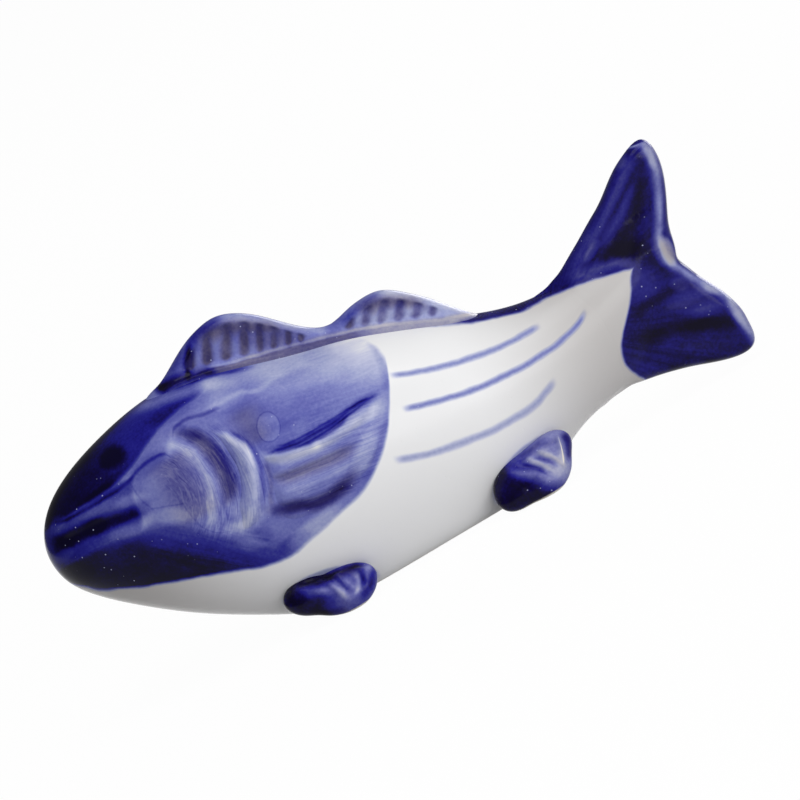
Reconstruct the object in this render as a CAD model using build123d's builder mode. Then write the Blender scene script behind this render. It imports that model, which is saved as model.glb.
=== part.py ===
"""Fish-form chopstick rest: a hollow cast porcelain body with fins and gill covers luted on.

Millimetres, +Z up. The nose points to -X, the tail to +X, and the belly rests on Z = 0.
"""

import os
from collections import namedtuple

from build123d import *

os.makedirs("parts", exist_ok=True)

# Girth sections of the body, nose to tail: run from the section before, heights of crown and keel
# above the table, half width, and the height of the widest level.
Girth = namedtuple("Girth", "run crown keel half_width widest")
lips = Girth(run=0.4, crown=20.4, keel=16.0, half_width=1.9, widest=18.3)
snout = Girth(run=2.0, crown=23.2, keel=13.0, half_width=4.4, widest=18.0)
eye = Girth(run=4.0, crown=25.6, keel=9.3, half_width=6.8, widest=17.3)
cheek = Girth(run=4.6, crown=27.1, keel=5.8, half_width=8.5, widest=16.3)
gill = Girth(run=5.5, crown=28.1, keel=2.4, half_width=9.7, widest=15.0)
shoulder = Girth(run=6.5, crown=27.8, keel=-0.6, half_width=10.4, widest=13.7)
belly = Girth(run=8.0, crown=25.5, keel=-1.2, half_width=10.4, widest=12.7)
loin = Girth(run=9.0, crown=22.9, keel=-1.0, half_width=9.5, widest=11.7)
vent = Girth(run=8.5, crown=19.5, keel=0.1, half_width=7.8, widest=10.9)
wrist = Girth(run=6.5, crown=17.3, keel=3.1, half_width=6.1, widest=10.7)
peduncle = Girth(run=4.5, crown=16.9, keel=4.1, half_width=4.8, widest=11.0)
tail_root = Girth(run=4.5, crown=16.6, keel=6.0, half_width=3.3, widest=12.0)
tenon = Girth(run=4.5, crown=15.6, keel=10.8, half_width=1.2, widest=13.4)
girths = [lips, snout, eye, cheek, gill, shoulder, belly, loin, vent, wrist, peduncle, tail_root, tenon]

# Casting
wall = 3.0
drain_diameter = 3.2

# Dorsal fins: heights above the back, thickness, and how far the root starts below the back
first_fin_length = 20.2
first_fin_height = 5.5
second_fin_length = 13.8
second_fin_height = 4.3
web_height = 1.5
fin_thickness = 3.0
fin_edge = 1.1
fin_root = 3.0
first_fin_setback = 0.4

# Tail fin
tail_overhang = 6.5
tail_top = 25.9
tail_bottom = 1.1
tail_thickness = 3.4
tail_edge = 1.2
tail_tip = 1.4
tail_waist_lift = 1.3
notch_depth = 3.3
notch_height = 13.4

# Applied relief: gill covers and pectoral fins, with their rise above the widest level of the shoulder
gill_relief = 0.55
gill_ridge = 1.5
gill_cover_height = 11.0
gill_cover_rise = 9.0
gill_cover_rake = 2.6
gill_cover_bow = 3.5
gill_to_pectoral = 0.3
pectoral_relief = 0.6
pectoral_length = 15.6
pectoral_height = 7.8
pectoral_rise = 5.0
pectoral_sag = 1.5

# Fin feet
foot_length = 10.2
foot_depth = 7.2
foot_thickness = 3.0
foot_edge = 1.3
foot_splay = 40.0
foot_slant = 14.0
foot_height = 2.8
front_foot_spread = 8.2
rear_foot_spread = 7.3
front_foot_setback = 0.7
rear_foot_lead = 0.8

# Stations along X
overall_length = sum(girth.run for girth in girths) + tail_overhang
nose = -overall_length / 2
tail_end = overall_length / 2


def station(girth):
    """X of a girth section."""
    last = girths.index(girth)
    return nose + sum(section.run for section in girths[: last + 1])


def back_at(x):
    """Height of the back at X, taken straight between the girth sections."""
    for fore, aft in zip(girths, girths[1:]):
        if station(fore) <= x <= station(aft):
            share = (x - station(fore)) / aft.run
            return fore.crown + share * (aft.crown - fore.crown)
    return girths[-1].crown


def girth_sketch(girth, grow):
    """Closed section of two half ellipses, grown outwards by `grow`, in the plane of its station."""
    reach = girth.half_width + grow
    half_turn = 180
    with BuildSketch(Plane.YZ.offset(station(girth))) as sketch:
        with BuildLine():
            upper = girth.crown + grow - girth.widest
            lower = girth.widest - girth.keel + grow
            EllipticalCenterArc((0, girth.widest), reach, upper, start_angle=0, arc_size=half_turn)
            EllipticalCenterArc((0, girth.widest), reach, lower, start_angle=half_turn, arc_size=half_turn)
        make_face()
    return sketch.sketch


def fish_form(grow):
    """Solid fish form, flat on the table, with every section grown outwards by `grow`."""
    with BuildPart() as form:
        tip = Vertex(nose - grow, 0, lips.widest)
        loft([tip] + [girth_sketch(girth, grow) for girth in girths])
        split(bisect_by=Plane.XY)
    return form.part


outer_form = fish_form(0)

with BuildPart() as body:
    add(outer_form)
    with BuildPart(mode=Mode.PRIVATE) as cavity:
        loft([girth_sketch(girth, -wall) for girth in girths[2:11]])
        split(bisect_by=Plane.XY.offset(wall))
    add(cavity.part, mode=Mode.SUBTRACT)
    with Locations((station(belly), 0, 0)):
        Cylinder(drain_diameter / 2, 2 * wall, mode=Mode.SUBTRACT)
body.part.label = "body"
export_step(body.part, "parts/body.step")


def dorsal_fin(front, length, heights):
    """Fin plate on the back from X = front, its crest through (share of length, height) points."""
    places = [(front + share * length, rise) for share, rise in heights]
    crest = [(x, back_at(x) + rise) for x, rise in places]
    with BuildPart() as plate:
        with BuildSketch(Plane.XZ):
            with BuildLine():
                ridge = Spline(*crest)
                heel = (places[-1][0], back_at(places[-1][0]) - fin_root)
                toe = (places[0][0], back_at(places[0][0]) - fin_root)
                Polyline(ridge @ 1, heel, toe, ridge @ 0)
            make_face()
        extrude(amount=fin_thickness / 2, both=True)
        fillet(plate.edges().filter_by(GeomType.BSPLINE), radius=fin_edge)
        add(outer_form, mode=Mode.SUBTRACT)
    return plate.part


first_fin_front = station(gill) + first_fin_setback
first_fin_rear = first_fin_front + first_fin_length
first_crest = [(0, -0.4), (0.3, 0.62 * first_fin_height), (0.55, first_fin_height)]
first_crest += [(0.8, 0.57 * first_fin_height), (1, web_height)]
second_crest = [(0, web_height), (0.45, second_fin_height), (1, -0.6)]

with BuildPart() as first_dorsal_fin:
    add(dorsal_fin(first_fin_front, first_fin_length, first_crest))
first_dorsal_fin.part.label = "first_dorsal_fin"
export_step(first_dorsal_fin.part, "parts/first_dorsal_fin.step")

with BuildPart() as second_dorsal_fin:
    add(dorsal_fin(first_fin_rear, second_fin_length, second_crest))
second_dorsal_fin.part.label = "second_dorsal_fin"
export_step(second_dorsal_fin.part, "parts/second_dorsal_fin.step")

with BuildPart() as tail_fin:
    with BuildSketch(Plane.XZ):
        with BuildLine():
            upper_start = (station(wrist), wrist.crown - fin_root / 2)
            upper_mid = (station(tail_root), 0.61 * tail_root.crown + 0.39 * tail_top)
            lower_start = (station(wrist), wrist.keel + fin_root / 2)
            lower_mid = (station(tail_root), 0.5 * (wrist.keel + tail_bottom) + tail_waist_lift)
            tip_inset = tail_end - tail_tip
            top_corner = CenterArc((tip_inset, tail_top - tail_tip), tail_tip, 90, -90)
            low_corner = CenterArc((tip_inset, tail_bottom + tail_tip), tail_tip, 0, -90)
            notch = (tail_end - notch_depth, notch_height)
            Spline(top_corner @ 1, notch, low_corner @ 0, tangents=[(0, -1), (0, -1)])
            Spline(upper_start, upper_mid, top_corner @ 0, tangents=[(1, 0.1), (1, 0)])
            Spline(low_corner @ 1, lower_mid, lower_start, tangents=[(-1, 0), (-1, 0.1)])
            Line(lower_start, upper_start)
        make_face()
    extrude(amount=tail_thickness / 2, both=True)
    fillet(tail_fin.edges().filter_by(GeomType.LINE, reverse=True), radius=tail_edge)
    add(outer_form, mode=Mode.SUBTRACT)
tail_fin.part.label = "tail_fin"
export_step(tail_fin.part, "parts/tail_fin.step")


def applied_relief(outline, relief):
    """Left-flank sprig: the side outline cut from a skin of thickness `relief` over the body."""
    with BuildPart() as sprig:
        add(extrude(outline, amount=2 * shoulder.half_width, dir=(0, -1, 0)))
        add(fish_form(relief), mode=Mode.INTERSECT)
        add(outer_form, mode=Mode.SUBTRACT)
    return sprig.part


gill_mid_x = station(shoulder) + gill_ridge / 2
with BuildSketch(Plane.XZ) as gill_outline:
    with BuildLine():
        gill_top_z = shoulder.widest + gill_cover_rise
        gill_mid_z = gill_top_z - 0.42 * gill_cover_height
        gill_foot_z = gill_top_z - gill_cover_height
        gill_top = (gill_mid_x - gill_cover_bow + gill_cover_rake / 2, gill_top_z)
        gill_foot = (gill_mid_x - gill_cover_bow - gill_cover_rake / 2, gill_foot_z)
        ThreePointArc(gill_top, (gill_mid_x, gill_mid_z), gill_foot)
        ThreePointArc(gill_foot, (gill_mid_x - gill_ridge, gill_mid_z), gill_top)
    make_face()

with BuildSketch(Plane.XZ) as pectoral_outline:
    with BuildLine():
        root_x = gill_mid_x + gill_to_pectoral
        tip_x = root_x + pectoral_length
        top_z = shoulder.widest + pectoral_rise
        low_z = top_z - pectoral_height
        fin_tip = (tip_x, top_z - pectoral_sag / 3)
        root_low = (root_x - gill_to_pectoral, low_z + 0.15 * pectoral_height)
        sag = (root_x + 0.45 * pectoral_length, top_z - pectoral_sag)
        sweep_low = (root_x + 0.3 * pectoral_length, low_z)
        sweep_aft = (root_x + 0.75 * pectoral_length, low_z + 0.3 * pectoral_height)
        Spline((root_x, top_z), sag, fin_tip)
        Spline(fin_tip, sweep_aft, sweep_low, root_low)
        Line(root_low, (root_x, top_z))
    make_face()


def fin_foot(centre_x, spread, slant):
    """Left fin foot: a round-edged oval plate that splays out and down to the table."""
    tilt = Vector(0, -1, 0).rotate(Axis.X, -foot_splay)
    seat = Plane((centre_x, -spread, foot_height), x_dir=(1, 0, 0), z_dir=tilt)
    with BuildPart() as foot:
        with BuildSketch(seat):
            Ellipse(foot_length / 2, foot_depth / 2, rotation=slant)
        extrude(amount=foot_thickness / 2, both=True)
        fillet(foot.edges().filter_by(GeomType.ELLIPSE), radius=foot_edge)
        split(bisect_by=Plane.XY)
        add(outer_form, mode=Mode.SUBTRACT)
    return foot.part


front_foot_x = station(shoulder) + front_foot_setback
rear_foot_x = station(vent) - rear_foot_lead

left_sprigs = {
    "gill_cover": applied_relief(gill_outline.sketch, gill_relief),
    "pectoral_fin": applied_relief(pectoral_outline.sketch, pectoral_relief),
    "pelvic_fin": fin_foot(front_foot_x, front_foot_spread, -foot_slant),
    "anal_fin": fin_foot(rear_foot_x, rear_foot_spread, foot_slant),
}
for name, solid in left_sprigs.items():
    with BuildPart() as left_sprig:
        add(solid)
    with BuildPart() as right_sprig:
        add(mirror(solid, about=Plane.XZ))
    left_sprig.part.label = f"left_{name}"
    right_sprig.part.label = f"right_{name}"
    export_step(left_sprig.part, f"parts/left_{name}.step")
    export_step(right_sprig.part, f"parts/right_{name}.step")
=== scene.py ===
"""Blue and white porcelain fish, a rest for chopsticks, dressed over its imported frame.

Shapes are worked out in millimetres measured from the nose and put into meshes in metres, in the
frame of the solids: nose towards -X, tail towards +X, belly on Z = 0. The cobalt decoration is laid
out on a template, a side drawing at 9.693 times size that leans back by 10 degrees and is the same
for both flanks. Its places run to the right and down, and the marks' sizes are in its units.
"""

from __future__ import annotations

import logging
import math
from dataclasses import dataclass
from enum import Enum
from typing import Callable, Sequence

import bpy
import numpy as np
from mathutils import Matrix, Vector

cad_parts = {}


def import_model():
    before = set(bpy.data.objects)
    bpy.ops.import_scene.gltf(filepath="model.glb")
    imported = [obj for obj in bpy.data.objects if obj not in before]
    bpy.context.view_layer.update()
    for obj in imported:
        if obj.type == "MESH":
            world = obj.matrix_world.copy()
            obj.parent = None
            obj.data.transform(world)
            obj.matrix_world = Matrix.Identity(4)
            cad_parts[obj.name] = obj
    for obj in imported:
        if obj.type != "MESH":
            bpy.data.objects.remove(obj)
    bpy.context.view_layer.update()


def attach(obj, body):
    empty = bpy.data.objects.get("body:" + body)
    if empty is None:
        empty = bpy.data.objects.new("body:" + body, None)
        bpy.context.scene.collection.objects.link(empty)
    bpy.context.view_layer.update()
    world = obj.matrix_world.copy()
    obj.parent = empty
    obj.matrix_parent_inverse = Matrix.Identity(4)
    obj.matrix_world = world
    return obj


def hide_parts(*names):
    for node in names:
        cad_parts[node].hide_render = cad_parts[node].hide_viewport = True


LOG = logging.getLogger("fish_rest")
Array = np.ndarray
Curve = Callable[[Array], Array]
Pair = tuple[float, float]
Colour = tuple[float, float, float]

LENGTH = 75.0
TEMPLATE_SCALE = 9.693
TEMPLATE_NOSE = 18.0
TEMPLATE_TABLE = 325.5
TEMPLATE_LEAN = math.radians(10.0)
MIRROR = np.array([1.0, -1.0, 1.0])


class Flank(Enum):
    """Side of the fish, as the sign of Y."""

    LEFT = -1.0
    RIGHT = 1.0


# Numpy helpers


def cubic(knots: Sequence[float], values: Sequence[float]) -> Curve:
    """Natural cubic spline through knots: second slopes solve the usual tridiagonal system.

    Args:
        knots: Increasing places.
        values: Value at each knot.

    Returns:
        A function of an array of places, held level beyond the ends.
    """
    x = np.asarray(knots, float)
    y = np.asarray(values, float)
    h = np.diff(x)
    n = len(x)
    system = np.eye(n)
    rhs = np.zeros(n)
    inner = np.arange(1, n - 1)
    system[inner, inner - 1] = h[:-1]
    system[inner, inner] = 2.0 * (h[:-1] + h[1:])
    system[inner, inner + 1] = h[1:]
    rhs[inner] = 6.0 * (np.diff(y)[1:] / h[1:] - np.diff(y)[:-1] / h[:-1])
    bend = np.linalg.solve(system, rhs)

    def at(place: Array) -> Array:
        """Value of the spline at each place."""
        p = np.clip(np.asarray(place, float), x[0], x[-1])
        i = np.clip(np.searchsorted(x, p) - 1, 0, n - 2)
        a = (x[i + 1] - p) / h[i]
        b = 1.0 - a
        sag = ((a**3 - a) * bend[i] + (b**3 - b) * bend[i + 1]) * h[i] ** 2 / 6.0
        return a * y[i] + b * y[i + 1] + sag

    return at


def ease(value: Array, low: float, high: float) -> Array:
    """Smooth step from 0 at low to 1 at high: 3t^2 - 2t^3."""
    t = np.clip((value - low) / (high - low), 0.0, 1.0)
    return t * t * (3.0 - 2.0 * t)


def soft_max(a: Array, b: Array | float, blend: Array | float) -> Array:
    """Larger of two arrays with a rounded corner: half of a + b + sqrt((a - b)^2 + blend^2)."""
    return 0.5 * (a + b + np.sqrt((a - b) ** 2 + blend**2))


def unit(vectors: Array) -> Array:
    """Vectors along the last axis, scaled to length one."""
    return vectors / np.maximum(np.linalg.norm(vectors, axis=-1, keepdims=True), 1e-9)


def template(points: Sequence[Pair]) -> Array:
    """Template points as millimetres: along from the nose, and up in the leaning drawing plane."""
    p = np.asarray(points, float)
    along = (p[:, 0] - TEMPLATE_NOSE) / TEMPLATE_SCALE
    up = (TEMPLATE_TABLE - p[:, 1]) / TEMPLATE_SCALE
    return np.stack([along, up], axis=1)


def drawn_curve(points: Sequence[Pair], share: Array) -> Array:
    """Spline through template points, as millimetres at shares of the run from the first to the last."""
    drawn = template(points)
    knots = np.linspace(0.0, 1.0, len(drawn))
    return np.stack([cubic(knots, drawn[:, i])(share) for i in (0, 1)], -1)


def ring_mesh(name: str, rings: Array, relief: Array) -> bpy.types.Object:
    """Closed mesh from a stack of closed rings, each end shut by a fan to its middle.

    Args:
        name: Name of the piece.
        rings: Points in millimetres from the nose, shaped rings by points by 3. Seen from the end
            of the stack looking back to its start, each ring runs anticlockwise for an outward skin.
        relief: Carved height at each point in millimetres, kept as an attribute for the glaze.

    Returns:
        The piece, linked to the scene with its place in its mesh.
    """
    n, m, _ = rings.shape
    points = np.concatenate([rings.reshape(-1, 3), rings[:1].mean(1), rings[-1:].mean(1)])
    points = (points - np.array([LENGTH / 2, 0.0, 0.0])) * 1e-3
    row, col = np.meshgrid(np.arange(n - 1), np.arange(m), indexing="ij")
    nxt = (col + 1) % m
    corners = [row * m + col, row * m + nxt, (row + 1) * m + nxt, (row + 1) * m + col]
    quads = np.stack(corners, -1).reshape(-1, 4)
    rim = np.arange(m)
    first = np.stack([np.full(m, n * m), (rim + 1) % m, rim], -1)
    last = np.stack([np.full(m, n * m + 1), (n - 1) * m + rim, (n - 1) * m + (rim + 1) % m], -1)
    loops = np.concatenate([quads.ravel(), first.ravel(), last.ravel()])
    sizes = np.concatenate([np.full(len(quads), 4), np.full(2 * m, 3)])
    mesh = bpy.data.meshes.new(name)
    mesh.vertices.add(len(points))
    mesh.vertices.foreach_set("co", points.astype(np.float32).ravel())
    mesh.loops.add(len(loops))
    mesh.loops.foreach_set("vertex_index", loops.astype(np.int32))
    mesh.polygons.add(len(sizes))
    mesh.polygons.foreach_set("loop_start", (np.cumsum(sizes) - sizes).astype(np.int32))
    mesh.polygons.foreach_set("use_smooth", np.ones(len(sizes), bool))
    mesh.update(calc_edges=True)
    mesh.validate()
    mark = np.concatenate([relief.ravel(), [relief[0].mean(), relief[-1].mean()]])
    mesh.attributes.new("relief", "FLOAT", "POINT").data.foreach_set("value", mark.astype(np.float32))
    piece = bpy.data.objects.new(name, mesh)
    bpy.context.scene.collection.objects.link(piece)
    return piece


# Shapes


@dataclass
class FishForm:
    """Main form of the body: half-ellipse sections carried along from nose to tail."""

    stations: tuple[float, ...] = (
        0.0, 0.4, 2.4, 6.4, 11.0, 16.5, 23.0, 31.0, 40.0, 48.5, 55.0, 59.5, 64.0, 68.5,
    )
    crowns: tuple[float, ...] = (
        18.3, 20.4, 23.2, 25.6, 27.1, 28.1, 27.8, 25.5, 22.9, 19.5, 17.3, 16.9, 16.6, 15.6,
    )
    keels: tuple[float, ...] = (
        18.3, 16.0, 13.0, 9.3, 5.8, 2.4, -0.6, -1.2, -1.0, 0.1, 3.1, 4.1, 6.0, 10.8,
    )
    halves: tuple[float, ...] = (
        0.0, 1.9, 4.4, 6.8, 8.5, 9.7, 10.4, 10.4, 9.5, 7.8, 6.1, 4.8, 3.3, 1.2,
    )
    widests: tuple[float, ...] = (
        18.3, 18.3, 18.0, 17.3, 16.3, 15.0, 13.7, 12.7, 11.7, 10.9, 10.7, 11.0, 12.0, 13.4,
    )
    lift_rounds: int = 12
    slope_step: float = 0.02

    def __post_init__(self) -> None:
        """Splines run over the square root of the station, which rounds the nose."""
        roots = np.sqrt(np.asarray(self.stations))
        self._crown = cubic(roots, self.crowns)
        self._keel = cubic(roots, self.keels)
        self._half = cubic(roots, self.halves)
        self._widest = cubic(roots, self.widests)

    def crown(self, x: Array) -> Array:
        """Height of the back at x."""
        return self._crown(np.sqrt(np.maximum(x, 0.0)))

    def section(self, x: Array) -> tuple[Array, Array, Array, Array]:
        """Crown, keel, half width and widest level at x."""
        root = np.sqrt(np.maximum(x, 0.0))
        return self._crown(root), self._keel(root), self._half(root), self._widest(root)

    def reach(self, x: Array, z: Array) -> Array:
        """Half breadth of the form at x and z, below zero outside its outline."""
        crown, keel, half, widest = self.section(x)
        tall = np.maximum(np.where(z > widest, crown - widest, widest - keel), 1e-3)
        inside = 1.0 - ((z - widest) / tall) ** 2
        return half * np.sign(inside) * np.sqrt(np.abs(inside))

    def lift(self, drawn: Array) -> tuple[Array, Array]:
        """Template millimetres lifted on to the flank, by repeating up = z cos - reach sin.

        Args:
            drawn: Along and up in the last axis.

        Returns:
            Station x and height z of each point on the flank.
        """
        x, up = drawn[..., 0], drawn[..., 1]
        z = up / math.cos(TEMPLATE_LEAN)
        for _ in range(self.lift_rounds):
            out = np.maximum(self.reach(x, z), 0.0)
            z = 0.5 * z + 0.5 * (up + out * math.sin(TEMPLATE_LEAN)) / math.cos(TEMPLATE_LEAN)
        return x, z

    def skin(self, x: Array, z: Array, proud: Array, flank: Flank) -> Array:
        """Points on the flank at x and z, moved out along the skin's normal by proud."""
        step = self.slope_step
        out = np.maximum(self.reach(x, z), 0.0)
        slope_x = (self.reach(x + step, z) - self.reach(x - step, z)) / (2 * step)
        slope_z = (self.reach(x, z + step) - self.reach(x, z - step)) / (2 * step)
        normal = unit(np.stack([-slope_x, np.ones_like(out), -slope_z], -1))
        points = np.stack([x, out, z], -1) + normal * proud[..., None]
        return points * np.array([1.0, flank.value, 1.0])


@dataclass(frozen=True)
class Crease:
    """Carved line on the flank: depth (below zero for a groove) and half width in millimetres.

    The line runs through template points, from left to right, or from top to bottom when upright.
    """

    points: tuple[Pair, ...]
    depth: float
    width: float
    upright: bool = False
    fade: float = 1.0
    tilt_step: float = 0.05

    def proud(self, along: Array, up: Array) -> Array:
        """Bell across the line, depth * exp(-(off / width)^2), faded out past both ends."""
        drawn = template(self.points)
        drawn = drawn[np.argsort(drawn[:, 1 if self.upright else 0])]
        run, rise = (drawn[:, 1], drawn[:, 0]) if self.upright else (drawn[:, 0], drawn[:, 1])
        go, off = (up, along) if self.upright else (along, up)
        line = cubic(run, rise)
        tilt = (line(go + self.tilt_step) - line(go - self.tilt_step)) / (2 * self.tilt_step)
        away = (off - line(go)) / np.sqrt(1.0 + tilt**2)
        ends = ease(go, run[0] - self.fade, run[0] + self.fade)
        ends = ends * (1.0 - ease(go, run[-1] - self.fade, run[-1] + self.fade))
        return self.depth * np.exp(-((away / self.width) ** 2)) * ends


@dataclass(frozen=True)
class Mound:
    """Soft swelling on the flank about a template point."""

    place: Pair
    height: float
    size: Pair

    def proud(self, along: Array, up: Array) -> Array:
        """Bell in both directions, height * exp(-(a / size_a)^2 - (b / size_b)^2)."""
        middle = template([self.place])[0]
        far = ((along - middle[0]) / self.size[0]) ** 2 + ((up - middle[1]) / self.size[1]) ** 2
        return self.height * np.exp(-far)


@dataclass
class Body:
    """Cast body with the carved mouth, cheek and gill slit, a flat belly and the vent's mouth under it."""

    form: FishForm
    rows: int = 300
    columns: int = 256
    samples: int = 4000
    first_root: float = 0.03
    base_round: float = 0.35
    vent_station: float = 31.0
    vent_radius: float = 1.6
    vent_lip: float = 0.25
    vent_depth: float = 2.4
    underside: float = 3.0
    carving: tuple[Crease | Mound, ...] = (
        Crease(((34, 141), (60, 143), (90, 146), (114, 150)), -0.18, 0.8, fade=1.5),
        Crease(((40, 127), (70, 127), (112, 134)), 0.14, 0.7, fade=1.5),
        Crease(((40, 163), (70, 162), (112, 165)), 0.16, 0.8, fade=1.5),
        Mound((172, 157), 0.42, (3.0, 4.2)),
        Crease(
            ((193, 104), (211, 120), (219, 145), (216, 168), (207, 186), (192, 204)), -0.3, 1.3, True, 2.0,
        ),
        Crease(((252, 108), (256, 135), (254, 158), (247, 186)), -0.08, 0.9, True, 2.0),
        Mound((292, 138), 0.12, (3.5, 3.0)),
    )

    def build(self) -> bpy.types.Object:
        """Sections carved along their normals, flattened on the table and pushed in at the vent."""
        points = self.sections()
        relief = self.proud(points)
        points = points + self.normals(points) * relief[..., None]
        points[..., 2] = soft_max(points[..., 2], 0.0, self.base_round)
        bore = np.hypot(points[..., 0] - self.vent_station, points[..., 1])
        sunk = self.vent_depth * (1.0 - ease(bore, self.vent_radius - self.vent_lip, self.vent_radius))
        points[..., 2] += np.where(points[..., 2] < self.underside, sunk, 0.0)
        return ring_mesh("porcelain_body", points, relief)

    def sections(self) -> Array:
        """Two half ellipses at each station, the stations at even runs along back and belly."""
        root = np.linspace(self.first_root, math.sqrt(self.form.stations[-1]), self.samples)
        crown, keel, _, _ = self.form.section(root**2)
        climb = 0.5 * np.abs(np.diff(crown)) + 0.5 * np.abs(np.diff(keel))
        run = np.concatenate([[0.0], np.cumsum(np.hypot(np.diff(root**2), climb))])
        x = np.interp(np.linspace(0.0, run[-1], self.rows), run, root) ** 2
        turn = np.linspace(0.0, 2 * math.pi, self.columns, endpoint=False)
        crown, keel, half, widest = (value[:, None] for value in self.form.section(x))
        tall = np.where(np.sin(turn) > 0, crown - widest, widest - keel)
        z = widest + tall * np.sin(turn)
        return np.stack(np.broadcast_arrays(x[:, None], half * np.cos(turn), z), -1)

    def normals(self, points: Array) -> Array:
        """Outward normals from the two grid directions."""
        along = np.gradient(points, axis=0)
        around = np.roll(points, -1, axis=1) - np.roll(points, 1, axis=1)
        return unit(np.cross(around, along))

    def proud(self, points: Array) -> Array:
        """Sum of the carving at each point, read on the template."""
        up = points[..., 2] * math.cos(TEMPLATE_LEAN) - np.abs(points[..., 1]) * math.sin(TEMPLATE_LEAN)
        return sum(cut.proud(points[..., 0], up) for cut in self.carving)


@dataclass
class DorsalFin:
    """Upright fin on the back: a rimmed plate with a sunk panel of leaning ribs over a ledge."""

    form: FishForm
    name: str
    crest: tuple[Pair, ...]
    grooves: tuple[float, ...]
    lean: float
    end_shares: Pair
    half_thickness: float = 1.45
    rim: float = 0.85
    rim_soft: float = 0.35
    ledge: float = 0.55
    ledge_span: Pair = (-0.2, 0.4)
    rib_round: float = 0.2
    panel_span: Pair = (1.0, 1.9)
    panel_depth: float = 0.1
    groove_depth: float = 0.3
    groove_margins: Pair = (0.9, 0.6)
    root_depth: float = 1.6
    least_height: float = 0.2
    crest_round: float = 1.1
    slim_runs: Pair = (6.0, 5.0)
    flare: float = 0.75
    flare_start: float = 0.1
    flare_height: float = 0.3
    rows: int = 240
    columns: int = 70

    def build(self) -> bpy.types.Object:
        """Profile of two faces over a round crest, slimmer at both ends, flared where it meets the back."""
        line = np.asarray(self.crest)
        front, rear = line[0, 0], line[-1, 0]
        x = np.linspace(front, rear, self.rows)[:, None]
        top = cubic(line[:, 0], line[:, 1])(x)
        back = self.form.crown(x)
        foot = back - self.root_depth
        share = np.sin(np.linspace(0.0, math.pi / 2, self.columns))[None, :]
        z = foot + np.maximum(top - foot, self.least_height) * share
        drop, rise = top - z, z - back
        cap = np.sqrt(np.maximum(1.0 - (1.0 - np.clip(drop / self.crest_round, 0.0, 1.0)) ** 2, 0.0))
        slim = (1.0 - self.end_shares[0]) * (1.0 - ease(x, front, front + self.slim_runs[0]))
        slim = slim + (1.0 - self.end_shares[1]) * ease(x, rear - self.slim_runs[1], rear)
        groove = self.groove(x - self.lean * rise)
        relief = -self.panel(drop, rise, groove) * (self.panel_depth + self.groove_depth * groove)
        flare = self.flare * np.exp(-np.maximum(rise - self.flare_start, 0.0) / self.flare_height)
        y = np.maximum(((1.0 - slim) * self.half_thickness + relief + flare) * cap, 0.0)
        side = np.stack(np.broadcast_arrays(x, y, z), -1)
        rings = np.concatenate([side, side[:, -2::-1] * MIRROR], 1)
        return ring_mesh(self.name, rings, np.concatenate([relief, relief[:, -2::-1]], 1))

    def groove(self, station: Array) -> Array:
        """1 along a groove and 0 along a rib: 0.5 + 0.5 cos of the turns, one turn to a groove."""
        before, after = self.groove_margins
        stops = [self.grooves[0] - before, *self.grooves, self.grooves[-1] + after]
        turns = [-0.5, *range(len(self.grooves)), len(self.grooves) - 0.5]
        return 0.5 + 0.5 * np.cos(2 * math.pi * np.interp(station, stops, turns))

    def panel(self, drop: Array, rise: Array, groove: Array) -> Array:
        """Share of the sunk panel, inside the rim and over the ledge, where the fin is tall enough.

        Args:
            drop: Depth below the crest.
            rise: Height over the back.
            groove: 1 along a groove and 0 along a rib, where the panel's lower edge is higher.

        Returns:
            The share, 0 to 1.
        """
        over = rise - self.ledge - self.rib_round * (1.0 - groove)
        inside = ease(drop, self.rim - self.rim_soft, self.rim + self.rim_soft)
        return inside * ease(over, *self.ledge_span) * ease(drop + rise, *self.panel_span)


@dataclass
class FanPlate:
    """Round-edged plate: a polar outline about a middle, with its rim rounded over a given width."""

    outline: tuple[Pair, ...]
    half_thickness: float
    rim: float
    rows: int
    columns: int
    near_middle: float = 0.99

    def sheet(self) -> tuple[Array, Array, Array, Array]:
        """Local grid of the plate, from its far face over the rim to its near face.

        The share of the radius is 1 - q^2, with q from near -1 on the far face to near 1 on the other.

        Returns:
            Share of the radius, local a and b in the plate, and n out of it, which follows
            half_thickness * sqrt(1 - (1 - edge / rim)^2) within the rim.
        """
        turn = np.radians(np.linspace(-180.0, 180.0, self.columns, endpoint=False))[None, :]
        bearing, radius = np.asarray(self.outline).T
        order = np.argsort(bearing)
        bearing, radius = bearing[order], radius[order]
        bearing = np.concatenate([bearing[-2:] - 360.0, bearing, bearing[:2] + 360.0])
        radius = np.concatenate([radius[-2:], radius, radius[:2]])
        reach = cubic(np.radians(bearing), radius)(turn)
        q = np.linspace(-self.near_middle, self.near_middle, self.rows)[:, None]
        share = np.broadcast_to(1.0 - q**2, (self.rows, self.columns))
        edge = np.clip((1.0 - share) * reach / self.rim, 0.0, 1.0)
        n = np.sign(q) * self.half_thickness * np.sqrt(1.0 - (1.0 - edge) ** 2)
        return share, share * reach * np.cos(turn), share * reach * np.sin(turn), n


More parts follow.
